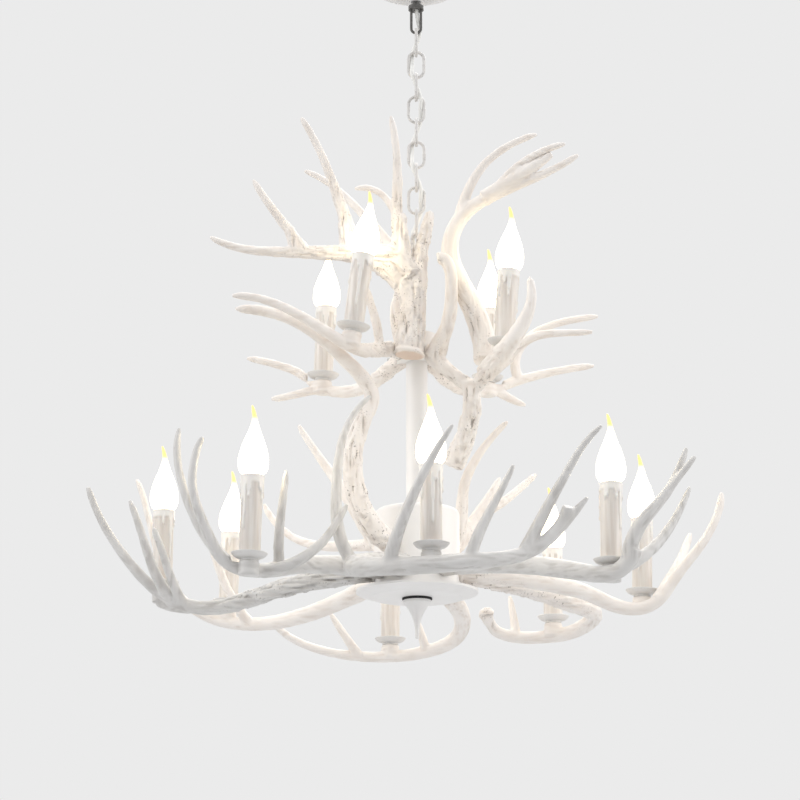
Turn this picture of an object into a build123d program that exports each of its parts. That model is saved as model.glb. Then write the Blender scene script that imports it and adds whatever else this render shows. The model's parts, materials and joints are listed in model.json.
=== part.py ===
from build123d import *

import math
import os
from collections import namedtuple

os.makedirs("parts", exist_ok=True)

# A two-tier antler chandelier that hangs by a chain. Millimetres, +Z up. The origin is the centre
# of the plate that screws to the ceiling, so everything hangs below z = 0. -Y faces the viewer.

# ---- ceiling fitting
BRACKET_LENGTH = 96.0
BRACKET_WIDTH = 24.0
BRACKET_THICKNESS = 2.5
SCREW_SPACING = 70.0
SCREW_HOLE_D = 5.0
CANOPY_D = 126.0
CANOPY_HEIGHT = 33.0
CANOPY_WALL = 1.6
CANOPY_FLAT_D = 44.0
CANOPY_LIP = 5.3
CANOPY_SHOULDER = 6.6
TUBE_D = 8.0
TUBE_BORE = 5.8
TUBE_LENGTH = 51.0
COLLAR_D = 17.0
COLLAR_HEIGHT = 7.0
COLLAR_CHAMFER = 1.4
SLIDE_CLEARANCE = 0.15

# ---- chain
WIRE_D = 4.0
LINK_LENGTH = 39.3
LINK_WIDTH = 24.0
LINK_COUNT = 9
LINK_GAP = 0.3
HOOK_WIRE_D = 3.5
HOOK_WIDTH = 16.0
HOOK_LENGTH = 34.0
YOKE_D = 20.0
YOKE_HEIGHT = 5.0
BAIL_LENGTH = 30.0

# ---- supply cord, woven down the chain
CORD_D = 5.0
WEAVE_SIDE = 5.0
WEAVE_CORNER = 6.2
CORD_TAIL = 26.0
MOUTH_OFFSET = 0.4
BEND_SHARE = 0.45

# ---- stem, from the bail down to the finial
ROD_D = 10.0
ROD_BORE = 6.4
ROD_CLEARANCE = 0.1
UPPER_TUBE_D = 13.0
UPPER_TUBE_LENGTH = 102.0
STEM_TUBE_D = 27.0
STEM_TUBE_WALL = 1.6
STEM_TUBE_LENGTH = 189.0
UPPER_HUB_D = 50.0
UPPER_HUB_HEIGHT = 36.0
UPPER_ROOT_DEPTH = 24.0
HUB_WALL = 4.0
LOWER_HUB_D = 105.0
CAP_HEIGHT = 39.0
DRUM_HEIGHT = 62.0
LOWER_ROOT_DEPTH = 40.0
HUB_RIM_ROUND = 7.0
SPIGOT_HEIGHT = 5.0
DISH_D = 150.0
DISH_FLOOR_D = 112.0
DISH_DEPTH = 9.0
DISH_WALL = 3.0
NECK_D = 22.0
NECK_HEIGHT = 3.0
FINIAL_D = 35.0
FINIAL_RIM = 3.0
FINIAL_MIDDLE_D = 19.3
FINIAL_MIDDLE_DROP = 13.2
FINIAL_WAIST_D = 10.0
FINIAL_WAIST_DROP = 24.0
FINIAL_LENGTH = 47.0
FINIAL_TIP_D = 5.0
NUT_ACROSS = 17.0
NUT_HEIGHT = 7.0

# ---- bolts that hold the antlers to the hubs
BOLT_D = 5.0
BOLT_HEAD_D = 9.0
BOLT_HEAD_HEIGHT = 3.5
BOLT_REACH = 16.0
BOLT_CLEARANCE = 0.1

# ---- candle lights
SEAT_D = 23.0
SEAT_HEIGHT = 16.0
DRIP_D = 44.0
DRIP_RIM_HEIGHT = 10.0
DRIP_BOSS_D = 22.0
DRIP_BOSS_HEIGHT = 4.0
DRIP_WALL = 2.0
SLEEVE_D = 25.0
SLEEVE_WALL = 1.3
SLEEVE_RISE = 90.0
HOLDER_D = 21.0
HOLDER_HEIGHT = 38.0
HOLDER_BORE = 14.2
HOLDER_DEPTH = 24.0
HOLDER_INSET = 2.5
NIPPLE_D = 10.0
NIPPLE_BORE = 7.0
NIPPLE_SINK = 9.0
NIPPLE_GRIP = 8.0
CAP_D = 13.6
CAP_LENGTH = 22.0
BULB_D = 35.0
BULB_LENGTH = 62.0
FLAME_LENGTH = 21.0
FLAME_LEAN = 4.0
BULB_GAP = 0.3
# Shares of the glass's length and of its half width, from its foot up, then the same for the tip.
GLASS_SHAPE = [
    (0.00, 0.62), (0.06, 0.86), (0.18, 0.99), (0.30, 1.00), (0.48, 0.88), (0.66, 0.66), (0.84, 0.40),
    (1.00, 0.22)]
FLAME_SHAPE = [(0.5, 0.14), (1.0, 0.06)]
FIT_CLEARANCE = 0.1

CENTRED_UP = (Align.CENTER, Align.CENTER, Align.MIN)
CENTRED_DOWN = (Align.CENTER, Align.CENTER, Align.MAX)
UNSHIFTED = (Align.NONE, Align.NONE, Align.NONE)

# ---- levels worked out from the sizes above, from the ceiling down
LINK_PITCH = LINK_LENGTH - 2 * WIRE_D - LINK_GAP
NEST = (HOOK_WIRE_D + WIRE_D) / 2 + LINK_GAP
HOOK_SEAT_Z = -TUBE_LENGTH - HOOK_LENGTH + HOOK_WIRE_D / 2
FIRST_LINK_Z = HOOK_SEAT_Z + NEST - (LINK_LENGTH - WIRE_D) / 2
LAST_LINK_Z = FIRST_LINK_Z - (LINK_COUNT - 1) * LINK_PITCH
BAIL_TOP_Z = LAST_LINK_Z - (LINK_LENGTH - WIRE_D) / 2 + NEST + HOOK_WIRE_D / 2
STEM_TOP_Z = BAIL_TOP_Z - BAIL_LENGTH - YOKE_HEIGHT
UPPER_HUB_TOP_Z = STEM_TOP_Z - UPPER_TUBE_LENGTH
UPPER_HUB_Z = UPPER_HUB_TOP_Z - UPPER_HUB_HEIGHT
UPPER_ROOT_Z = UPPER_HUB_TOP_Z - UPPER_ROOT_DEPTH
CAP_TOP_Z = UPPER_HUB_Z - STEM_TUBE_LENGTH
DRUM_TOP_Z = CAP_TOP_Z - CAP_HEIGHT
DISH_TOP_Z = DRUM_TOP_Z - DRUM_HEIGHT
LOWER_ROOT_Z = DRUM_TOP_Z - LOWER_ROOT_DEPTH
DISH_BOTTOM_Z = DISH_TOP_Z - DISH_DEPTH
FINIAL_TOP_Z = DISH_BOTTOM_Z - NECK_HEIGHT


def ring(outer_d, inner_d, height):
    """A straight tube standing on z = 0."""
    body = Cylinder(outer_d / 2, height, align=CENTRED_UP)
    bore = Cylinder(inner_d / 2, 3 * height, align=(Align.CENTER, Align.CENTER, Align.CENTER))
    return body - bore


def turned(profile):
    """A solid of revolution from (radius, height) corners."""
    outline = Polyline(*[(r, 0, z) for r, z in profile], close=True)
    return revolve(make_face(outline), Axis.Z)


def hexagon_nut(bore_d):
    body = extrude(RegularPolygon(NUT_ACROSS / 2, 6, major_radius=False), NUT_HEIGHT)
    return body - Cylinder(bore_d / 2, 3 * NUT_HEIGHT)


def half_ring(radius, wire_d):
    """The upper half of a wire ring that stands in the XZ plane."""
    return Rot(90, 0, 0) * Torus(radius, wire_d / 2, major_angle=180, align=UNSHIFTED)


def leg(x, z_low, z_high, wire_d):
    return Pos(x, 0, z_low) * Cylinder(wire_d / 2, z_high - z_low, align=CENTRED_UP)


# ---- ceiling fitting

def ceiling_bracket():
    plate = Pos(0, 0, -BRACKET_THICKNESS) * extrude(
        SlotOverall(BRACKET_LENGTH, BRACKET_WIDTH), BRACKET_THICKNESS)
    plate -= Cylinder((TUBE_D + 2 * ROD_CLEARANCE) / 2, 3 * BRACKET_THICKNESS)
    for side in (-1, 1):
        plate -= Pos(side * SCREW_SPACING / 2, 0) * Cylinder(SCREW_HOLE_D / 2, 3 * BRACKET_THICKNESS)
    return plate


def canopy():
    """A shallow bell that hides the bracket, open at the ceiling."""
    outer_r = CANOPY_D / 2
    flat_r = CANOPY_FLAT_D / 2

    def shell(inset):
        depth = CANOPY_HEIGHT - inset
        middle_r = (outer_r + flat_r) / 2 - inset
        bell = Spline(
            (outer_r - inset, 0, -CANOPY_LIP), (middle_r, 0, CANOPY_SHOULDER - depth),
            (flat_r - inset, 0, -depth),
            tangents=[(0, 0, -1), (-1, 0, 0)],
        )
        outline = [
            Line((outer_r - inset, 0, 0), (outer_r - inset, 0, -CANOPY_LIP)),
            bell,
            Line((flat_r - inset, 0, -depth), (0, 0, -depth)),
            Line((0, 0, -depth), (0, 0, 0)),
            Line((0, 0, 0), (outer_r - inset, 0, 0)),
        ]
        return revolve(make_face(outline), Axis.Z)

    body = shell(0) - shell(CANOPY_WALL)
    return body - Cylinder(TUBE_D / 2 + SLIDE_CLEARANCE, 4 * CANOPY_HEIGHT)


def canopy_collar():
    body = Pos(0, 0, -CANOPY_HEIGHT - COLLAR_HEIGHT) * ring(
        COLLAR_D, TUBE_D + 2 * SLIDE_CLEARANCE, COLLAR_HEIGHT)
    edge = body.edges().filter_by(GeomType.CIRCLE).filter_by(
        lambda e: abs(e.radius - COLLAR_D / 2) < 0.01).sort_by(Axis.Z)[0]
    return chamfer(edge, COLLAR_CHAMFER)


def tube_nut():
    """The nut that clamps the hollow tube to the bracket."""
    return Pos(0, 0, -BRACKET_THICKNESS - NUT_HEIGHT) * hexagon_nut(TUBE_D + 2 * ROD_CLEARANCE)


def hanging_loop(seat_to_yoke, inner_r):
    """A U of wire standing on a yoke disc at z = 0, its round end up."""
    legs_top = seat_to_yoke - inner_r - HOOK_WIRE_D / 2
    body = Pos(0, 0, legs_top) * half_ring(inner_r, HOOK_WIRE_D)
    for side in (-1, 1):
        body += leg(side * inner_r, -YOKE_HEIGHT / 2, legs_top, HOOK_WIRE_D)
    return body


def ceiling_hook():
    """The hollow tube below the bracket, and the loop on its end that takes the first link."""
    inner_r = (HOOK_WIDTH - HOOK_WIRE_D) / 2
    tube = Pos(0, 0, -TUBE_LENGTH) * Cylinder(TUBE_D / 2, TUBE_LENGTH, align=CENTRED_UP)
    yoke = Pos(0, 0, -TUBE_LENGTH) * Cylinder(YOKE_D / 2, YOKE_HEIGHT, align=CENTRED_UP)
    loop = Pos(0, 0, -TUBE_LENGTH) * Rot(180, 0, 0) * hanging_loop(HOOK_LENGTH, inner_r)
    bore = Cylinder(TUBE_BORE / 2, 3 * TUBE_LENGTH)
    return tube + yoke + loop - bore


# ---- chain

def chain_link(number):
    """Odd links stand edge-on to the viewer, even links face the viewer."""
    inner_r = (LINK_WIDTH - WIRE_D) / 2
    half = (LINK_LENGTH - LINK_WIDTH) / 2
    body = Pos(0, 0, half) * half_ring(inner_r, WIRE_D)
    body += Pos(0, 0, -half) * Rot(180, 0, 0) * half_ring(inner_r, WIRE_D)
    for side in (-1, 1):
        body += leg(side * inner_r, -half, half, WIRE_D)
    turn = 90 if number % 2 else 0
    return Pos(0, 0, FIRST_LINK_Z - (number - 1) * LINK_PITCH) * Rot(0, 0, turn) * body


def stem_bail():
    """The loop at the head of the stem, which hangs on the last link."""
    inner_r = (HOOK_WIDTH - HOOK_WIRE_D) / 2
    yoke_top = STEM_TOP_Z + YOKE_HEIGHT
    body = Pos(0, 0, yoke_top) * hanging_loop(BAIL_LENGTH, inner_r)
    body += Pos(0, 0, STEM_TOP_Z) * Cylinder(YOKE_D / 2, YOKE_HEIGHT, align=CENTRED_UP)
    return body - Pos(0, 0, STEM_TOP_Z) * Cylinder(ROD_BORE / 2, 4 * YOKE_HEIGHT)


def power_cord():
    """The cord comes down the ceiling tube, winds through every link and enters the stem."""
    half_pitch = LINK_PITCH / 2
    junction = FIRST_LINK_Z + half_pitch
    points = [(0, 0, -TUBE_LENGTH + CORD_TAIL), (0, MOUTH_OFFSET, -TUBE_LENGTH - YOKE_HEIGHT)]
    for step in range(2 * LINK_COUNT + 1):
        angle = math.radians(45 + 45 * step)
        reach = WEAVE_SIDE if step % 2 else math.hypot(WEAVE_CORNER, WEAVE_CORNER)
        points.append((reach * math.cos(angle), reach * math.sin(angle), junction - step * half_pitch))
    points += [(0, MOUTH_OFFSET, STEM_TOP_Z + 2 * YOKE_HEIGHT), (0, 0, STEM_TOP_Z - CORD_TAIL)]
    corners = [Vector(*p) for p in points]
    radii = []
    for before, at, after in zip(corners, corners[1:], corners[2:]):
        turn = math.radians((at - before).get_angle(after - at))
        run = min((at - before).length, (after - at).length)
        radii.append(BEND_SHARE * run / math.tan(turn / 2))
    route = FilletPolyline(*corners, radius=radii)
    start = Plane(origin=route @ 0, z_dir=route % 0)
    tube = sweep(start * Circle(CORD_D / 2), path=route)
    expected = math.pi * CORD_D ** 2 / 4 * route.length
    print(f"cord: length {route.length:.1f}, radii {min(radii):.1f} to {max(radii):.1f}")
    print(f"cord: volume {tube.volume:.0f}, section times length {expected:.0f}")
    return tube


# ---- stem and hubs

def rod_hole():
    return Pos(0, 0, UPPER_HUB_Z) * Cylinder(ROD_D / 2 + ROD_CLEARANCE, 4 * STEM_TUBE_LENGTH)


def stem_rod():
    length = STEM_TOP_Z - (FINIAL_TOP_Z - FINIAL_WAIST_DROP / 2)
    return Pos(0, 0, STEM_TOP_Z - length) * ring(ROD_D, ROD_BORE, length)


def upper_tube():
    bore = ROD_D + 2 * ROD_CLEARANCE
    return Pos(0, 0, UPPER_HUB_TOP_Z) * ring(UPPER_TUBE_D, bore, UPPER_TUBE_LENGTH)


def stem_tube():
    bore = STEM_TUBE_D - 2 * STEM_TUBE_WALL
    return Pos(0, 0, CAP_TOP_Z) * ring(STEM_TUBE_D, bore, STEM_TUBE_LENGTH)


def upper_hub_body():
    body = Pos(0, 0, UPPER_HUB_Z) * Cylinder(UPPER_HUB_D / 2, UPPER_HUB_HEIGHT, align=CENTRED_UP)
    hollow_r = UPPER_HUB_D / 2 - HUB_WALL
    hollow = Pos(0, 0, UPPER_HUB_Z + HUB_WALL) * Cylinder(
        hollow_r, UPPER_HUB_HEIGHT - 2 * HUB_WALL, align=CENTRED_UP)
    return body - hollow - rod_hole()


def hub_cap_body():
    """The upper half of the drum, with a plate on top and a spigot that centres the lower half."""
    outer_r = LOWER_HUB_D / 2
    body = Pos(0, 0, DRUM_TOP_Z) * Cylinder(outer_r, CAP_HEIGHT, align=CENTRED_UP)
    top_edge = body.edges().filter_by(GeomType.CIRCLE).sort_by(Axis.Z)[-1]
    body = fillet(top_edge, HUB_RIM_ROUND)
    body -= Pos(0, 0, DRUM_TOP_Z) * Cylinder(
        outer_r - HUB_WALL, CAP_HEIGHT - HUB_WALL, align=CENTRED_UP)
    spigot_d = LOWER_HUB_D - 2 * HUB_WALL
    spigot = ring(spigot_d, spigot_d - HUB_WALL, SPIGOT_HEIGHT + HUB_WALL)
    body += Pos(0, 0, DRUM_TOP_Z - SPIGOT_HEIGHT) * spigot
    return body - rod_hole()


def lower_hub_body():
    clearance = 2 * FIT_CLEARANCE
    bore = LOWER_HUB_D - 2 * HUB_WALL + clearance
    return Pos(0, 0, DISH_TOP_Z) * ring(LOWER_HUB_D, bore, DRUM_HEIGHT)


def bottom_dish():
    rim_r = DISH_D / 2
    floor_r = DISH_FLOOR_D / 2
    body = turned([
        (0, DISH_TOP_Z), (rim_r, DISH_TOP_Z), (rim_r, DISH_TOP_Z - DISH_WALL),
        (floor_r, DISH_BOTTOM_Z), (0, DISH_BOTTOM_Z)])
    return body - rod_hole()


def finial():
    rim_r = FINIAL_D / 2
    waist_r = FINIAL_WAIST_D / 2
    top = FINIAL_TOP_Z
    side = Spline(
        (rim_r, 0, top - FINIAL_RIM), (FINIAL_MIDDLE_D / 2, 0, top - FINIAL_MIDDLE_DROP),
        (waist_r, 0, top - FINIAL_WAIST_DROP), (FINIAL_TIP_D / 2, 0, top - FINIAL_LENGTH),
    )
    outline = [
        Line((0, 0, DISH_BOTTOM_Z), (NECK_D / 2, 0, DISH_BOTTOM_Z)),
        Line((NECK_D / 2, 0, DISH_BOTTOM_Z), (NECK_D / 2, 0, top)),
        Line((NECK_D / 2, 0, top), (rim_r, 0, top)),
        Line((rim_r, 0, top), (rim_r, 0, top - FINIAL_RIM)),
        side,
        Line((FINIAL_TIP_D / 2, 0, top - FINIAL_LENGTH), (0, 0, top - FINIAL_LENGTH)),
        Line((0, 0, top - FINIAL_LENGTH), (0, 0, DISH_BOTTOM_Z)),
    ]
    body = revolve(make_face(outline), Axis.Z)
    socket = Pos(0, 0, top - FINIAL_WAIST_DROP / 2 - 0.5) * Cylinder(
        ROD_D / 2 + ROD_CLEARANCE, FINIAL_LENGTH, align=CENTRED_UP)
    return body - socket


def stem_nuts():
    bore = ROD_D + 2 * ROD_CLEARANCE
    under_cap = Pos(0, 0, CAP_TOP_Z - HUB_WALL - NUT_HEIGHT) * hexagon_nut(bore)
    on_dish = Pos(0, 0, DISH_TOP_Z) * hexagon_nut(bore)
    return [under_cap, on_dish]


# ---- candle lights
# x and y of each light, height of its drip dish's rim above its tier's root level, and the
# lean of the candle: degrees from upright, and the compass direction it leans to from +X.
Light = namedtuple("Light", "name x y rim tier lean heading")
LIGHTS = [
    Light("front", 14, -270, -18, "lower", 0, 0),
    Light("front_right", 222, -188, -20, "lower", 1, 0),
    Light("right", 280, 45, -12, "lower", 1, 0),
    Light("back_right", 180, 222, -14, "lower", 0, 0),
    Light("back", -34, 300, -30, "lower", 0, 0),
    Light("back_left", -246, 205, 4, "lower", 2, 0),
    Light("left", -316, 34, -4, "lower", 0, 0),
    Light("front_left", -192, -234, -22, "lower", 1.5, 0),
    Light("upper_front_left", -79, -104, 7, "upper", 7.5, 0),
    Light("upper_front_right", 106, -84, -7, "upper", 4, 0),
    Light("upper_back_right", 92, 104, 0, "upper", 2, 0),
    Light("upper_back_left", -121, 104, 3, "upper", 2, 0),
]
TIER_Z = {"lower": LOWER_ROOT_Z, "upper": UPPER_ROOT_Z}


def light_place(light):
    """The candle's own frame, its origin on the seat that carries the drip dish."""
    seat_z = TIER_Z[light.tier] + light.rim - DRIP_RIM_HEIGHT
    heading = Rot(0, 0, light.heading)
    return Pos(light.x, light.y, seat_z) * heading * Rot(0, light.lean, 0) * heading.inverse()


def drip_dish():
    boss_r = DRIP_BOSS_D / 2
    rim_r = DRIP_D / 2
    floor_r = SLEEVE_D / 2 + 2 * DRIP_WALL
    body = turned([
        (NIPPLE_D / 2 + FIT_CLEARANCE, 0), (boss_r, 0), (boss_r, DRIP_BOSS_HEIGHT),
        (floor_r, DRIP_BOSS_HEIGHT), (rim_r, DRIP_RIM_HEIGHT - DRIP_WALL / 2), (rim_r, DRIP_RIM_HEIGHT),
        (rim_r - DRIP_WALL / 2, DRIP_RIM_HEIGHT), (floor_r, DRIP_BOSS_HEIGHT + DRIP_WALL),
        (NIPPLE_D / 2 + FIT_CLEARANCE, DRIP_BOSS_HEIGHT + DRIP_WALL)])
    return body


SLEEVE_FOOT = DRIP_BOSS_HEIGHT + DRIP_WALL
SLEEVE_TOP = DRIP_RIM_HEIGHT + SLEEVE_RISE


def candle_sleeve():
    return Pos(0, 0, SLEEVE_FOOT) * ring(SLEEVE_D, SLEEVE_D - 2 * SLEEVE_WALL, SLEEVE_TOP - SLEEVE_FOOT)


def lampholder():
    foot = SLEEVE_TOP - HOLDER_INSET - HOLDER_HEIGHT
    body = Pos(0, 0, foot) * Cylinder(HOLDER_D / 2, HOLDER_HEIGHT, align=CENTRED_UP)
    body -= Pos(0, 0, SLEEVE_TOP - HOLDER_INSET - HOLDER_DEPTH) * Cylinder(
        HOLDER_BORE / 2, 2 * HOLDER_DEPTH, align=CENTRED_UP)
    return body - Pos(0, 0, foot) * Cylinder(NIPPLE_D / 2 + FIT_CLEARANCE, 2 * NIPPLE_GRIP)


def holder_nipple():
    top = SLEEVE_TOP - HOLDER_INSET - HOLDER_HEIGHT + NIPPLE_GRIP
    return Pos(0, 0, -NIPPLE_SINK) * ring(NIPPLE_D, NIPPLE_BORE, top + NIPPLE_SINK)


def bulb():
    """A candle lamp: screw cap, egg-shaped glass and a flame tip that leans a little."""
    foot = SLEEVE_TOP + BULB_GAP
    r = BULB_D / 2
    sections = []
    for height, width in GLASS_SHAPE:
        sections.append(Pos(0, 0, foot + BULB_LENGTH * height) * Circle(r * width))
    for height, width in FLAME_SHAPE:
        at = Pos(-FLAME_LEAN * height ** 2, 0, foot + BULB_LENGTH + FLAME_LENGTH * height)
        sections.append(at * Circle(r * width))
    glass = loft(sections)
    cap = Pos(0, 0, foot - CAP_LENGTH) * Cylinder(CAP_D / 2, CAP_LENGTH + 1, align=CENTRED_UP)
    return glass + cap


# ---- antlers
# A branch is a list of points on its centre line and its thickness at the first and the last.
# Points are in mm from the axis, their height counted from the tier's root level. The first
# branch is the beam, which starts inside the hub and is cut flush with it.
Antler = namedtuple("Antler", "tier root branches lights")
Branch = namedtuple("Branch", "thick thin points")
ANTLERS = {
    "front_antler": Antler("lower", -108, [
        Branch(28, 13, [(-14, -42, 2), (-52, -102, -8), (-74, -180, -26), (-48, -256, -42), (14, -286, -46),
                        (80, -284, -40), (122, -268, -28), (152, -266, -6), (168, -276, 22)]),
        Branch(15, 4, [(118, -270, -28), (144, -268, 22), (168, -276, 64), (186, -284, 92),
                       (206, -292, 112)]),
        Branch(15, 4, [(148, -266, -10), (170, -268, 12), (190, -272, 34)]),
        Branch(16, 4, [(-34, -268, -42), (-22, -288, -6), (-4, -298, 36), (16, -306, 74), (38, -312, 108)]),
        Branch(14, 4, [(56, -286, -42), (72, -288, 0), (90, -290, 34), (106, -294, 66)]),
        Branch(16, 4, [(-73, -172, -24), (-90, -182, 6), (-95, -180, 62), (-84, -172, 140),
                       (-56, -160, 182)]),
    ], ["front"]),
    "front_right_antler": Antler("lower", -52, [
        Branch(26, 18, [(26, -34, 2), (75, -84, -4), (138, -140, -18), (190, -182, -34), (226, -206, -38),
                        (246, -220, -14)]),
        Branch(18, 4, [(240, -215, -26), (262, -226, 24), (284, -224, 50), (300, -218, 80),
                       (310, -212, 106)]),
        Branch(9, 4, [(284, -224, 50), (300, -226, 70), (318, -228, 92)]),
        Branch(16, 4, [(228, -206, -36), (256, -200, -20), (284, -184, 8), (304, -172, 40),
                       (318, -168, 70)]),
    ], ["front_right"]),
    "right_antler": Antler("lower", -8, [
        Branch(26, 5, [(40, -4, 2), (89, 0, 0), (152, 12, -8), (215, 26, -22), (262, 34, -38),
                       (290, 28, -34), (322, 20, 2), (354, 16, 42), (372, 18, 74), (380, 22, 106)]),
        Branch(15, 4, [(296, 26, -28), (318, 42, 6), (334, 62, 36), (346, 76, 66)]),
    ], ["right"]),
    "back_right_antler": Antler("lower", 27, [
        Branch(26, 12, [(38, 20, 4), (91, 48, 2), (148, 68, -8), (196, 88, -22), (226, 128, -26),
                        (214, 184, -36), (172, 230, -40), (124, 238, -38), (98, 206, -30), (94, 172, -16)]),
        Branch(12, 4, [(132, 240, -38), (128, 240, -6), (124, 238, 16)]),
    ], ["back_right"]),
    "back_antler": Antler("lower", 66, [
        Branch(26, 6, [(17, 38, 2), (44, 110, -12), (60, 190, -26), (48, 252, -42), (6, 288, -52),
                       (-44, 298, -56), (-112, 286, -52), (-160, 256, -40), (-184, 228, -26)]),
        Branch(12, 4, [(-76, 294, -54), (-96, 282, -28), (-114, 276, 0)]),
        Branch(12, 4, [(14, 284, -50), (6, 268, -26), (-2, 256, -6)]),
    ], ["back"]),
    "back_left_antler": Antler("lower", 124, [
        Branch(25, 4, [(-24, 35, 2), (-90, 108, -12), (-148, 156, -26), (-212, 192, -30), (-270, 206, -18),
                       (-314, 206, 14), (-342, 200, 76), (-368, 190, 162)]),
        Branch(13, 4, [(-214, 192, -30), (-248, 176, 20), (-264, 168, 62), (-282, 164, 110)]),
    ], ["back_left"]),
    "left_antler": Antler("lower", 183, [
        Branch(26, 5, [(-42, -2, 2), (-92, -8, -4), (-146, -2, -14), (-204, 8, -30), (-258, 18, -40),
                       (-306, 14, -28), (-354, 2, 14), (-386, -6, 60), (-406, -10, 106)]),
        Branch(14, 4, [(-300, 12, -32), (-322, -14, 2), (-336, -26, 42), (-352, -34, 84)]),
        Branch(12, 4, [(-286, 16, -36), (-302, -22, -4), (-310, -38, 20), (-320, -50, 46)]),
        Branch(18, 15, [(-280, 16, -38), (-300, 25, -35), (-318, 35, -28)]),
    ], ["left"]),
    "front_left_antler": Antler("lower", 212, [
        Branch(26, 5, [(-34, -21, 2), (-90, -80, -6), (-142, -150, -20), (-188, -212, -38),
                       (-216, -232, -34),
                       (-242, -246, 6), (-256, -250, 48), (-256, -250, 78), (-246, -246, 110)]),
        Branch(14, 4, [(-212, -230, -36), (-250, -224, 12), (-270, -220, 58), (-278, -218, 98),
                       (-276, -218, 128)]),
        Branch(12, 4, [(-160, -180, -28), (-160, -200, 8), (-156, -206, 46), (-152, -210, 80)]),
        Branch(15, 4, [(-178, -204, -38), (-140, -212, -28), (-112, -208, -6), (-94, -202, 20),
                       (-82, -198, 42)]),
    ], ["front_left"]),
    "left_upright_antler": Antler("lower", 234, [
        Branch(24, 4, [(-26, -36, 28), (-50, -58, 40), (-74, -64, 88), (-78, -64, 136), (-64, -62, 184),
                       (-56, -62, 208), (-78, -70, 242), (-108, -84, 268), (-146, -104, 290),
                       (-184, -116, 300), (-220, -124, 301)]),
    ], []),
    "left_rear_upright_antler": Antler("lower", 134, [
        Branch(22, 4, [(-30, 32, 28), (-58, 58, 62), (-92, 78, 120), (-122, 92, 166), (-152, 104, 214)]),
        Branch(15, 4, [(-44, 46, 44), (-88, 88, 52), (-132, 118, 60), (-162, 140, 76), (-198, 158, 122)]),
    ], []),
    "right_upright_antler": Antler("lower", 39, [
        Branch(22, 4, [(32, 26, 28), (52, 42, 46), (74, 58, 82), (92, 68, 112), (106, 76, 138)]),
        Branch(12, 4, [(78, 60, 86), (104, 72, 102), (126, 88, 122), (154, 108, 150)]),
        Branch(17, 4, [(52, 40, 44), (56, 30, 86), (60, 22, 118), (76, 18, 152), (114, 14, 196)]),
    ], []),
    "right_long_antler": Antler("upper", -42, [
        Branch(19, 4, [(14, -13, 0), (34, -30, -26), (58, -36, -46), (72, -42, -54), (84, -52, -36),
                       (98, -94, -26),
                       (112, -120, -18), (132, -130, 10), (140, -130, 36), (136, -128, 60)]),
        Branch(20, 27, [(66, -40, -48), (67, -33, -84), (58, -22, -117), (44, -12, -148)]),
        Branch(14, 4, [(28, -25, -16), (37, -34, 22), (44, -38, 56), (47, -36, 88), (42, -30, 112),
                       (32, -24, 121)]),
        Branch(15, 4, [(82, -50, -38), (106, -82, -34), (136, -92, -8), (176, -92, 0), (214, -90, 2)]),
    ], ["upper_front_right"]),
    "tall_left_antler": Antler("upper", -104, [
        Branch(36, 9, [(-10, -42, -14), (-6, -40, 32), (-2, -37, 72), (3, -33, 111), (10, -29, 145),
                       (17, -26, 178)]),
        Branch(24, 4, [(-6, -40, 52), (-24, -40, 84), (-60, -42, 111), (-109, -46, 118), (-158, -50, 118),
                       (-214, -55, 120), (-258, -58, 135)]),
        Branch(17, 4, [(-72, -44, 112), (-91, -46, 168), (-109, -50, 220), (-146, -58, 294)]),
        Branch(13, 4, [(-140, -50, 119), (-160, -52, 146), (-178, -56, 169), (-205, -60, 210)]),
        Branch(18, 4, [(-10, -40, 66), (-22, -40, 127), (-24, -42, 205), (-33, -44, 302)]),
    ], []),
    "tall_right_antler": Antler("upper", None, [
        Branch(30, 4, [(86, -36, -20), (84, -34, 4), (74, -36, 38), (58, -42, 72), (43, -46, 108),
                       (44, -50, 140),
                       (68, -58, 173), (111, -68, 193), (154, -78, 209), (201, -88, 233)]),
        Branch(13, 4, [(52, -52, 158), (64, -58, 196), (88, -62, 233), (117, -66, 254), (151, -70, 267)]),
        Branch(9, 4, [(92, -64, 186), (111, -72, 210), (147, -84, 234), (185, -92, 246)]),
    ], []),
    "upper_front_left_antler": Antler("upper", -157, [
        Branch(20, 4, [(-15, -6, 0), (-44, -42, -6), (-79, -100, -20), (-115, -122, -4), (-146, -138, 11),
                       (-180, -150, 23), (-222, -158, 27)]),
        Branch(10, 4, [(-46, -52, -8), (-54, -56, 38), (-68, -58, 76)]),
    ], ["upper_front_left"]),
    "upper_back_left_antler": Antler("upper", 154, [
        Branch(20, 4, [(-15, 7, -3), (-48, 42, -20), (-83, 82, -26), (-119, 102, -18), (-152, 112, 6),
                       (-186, 116, 20), (-221, 118, 28)]),
        Branch(11, 4, [(-112, 98, -20), (-139, 106, -20), (-164, 110, -25), (-188, 114, -28)]),
    ], ["upper_back_left"]),
    "upper_back_right_antler": Antler("upper", 40, [
        Branch(20, 4, [(13, 11, 0), (53, 60, -26), (92, 102, -20), (129, 116, -4), (178, 124, 11),
                       (233, 130, 21)]),
        Branch(11, 4, [(104, 108, -18), (118, 112, -26), (142, 116, -36)]),
        Branch(12, 4, [(134, 116, -2), (132, 118, 34), (152, 120, 60), (194, 122, 79), (239, 124, 87)]),
    ], ["upper_back_right"]),
    "upper_back_antler": Antler("upper", 98, [
        Branch(20, 4, [(-2, 15, 3), (-12, 40, 16), (-25, 36, 60), (-18, 32, 100), (-15, 36, 140),
                       (-22, 46, 180), (-34, 52, 218), (-54, 56, 238), (-80, 60, 241)]),
        Branch(14, 4, [(-17, 34, 110), (-38, 56, 168), (-70, 72, 211), (-107, 84, 252), (-147, 92, 278)]),
    ], []),
}
TAPER_POWER = 1.25
# A direction that no branch sets out in, from which its sections take their turn.
SECTION_SIDE = (0.3, 0.2, 1)
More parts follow.
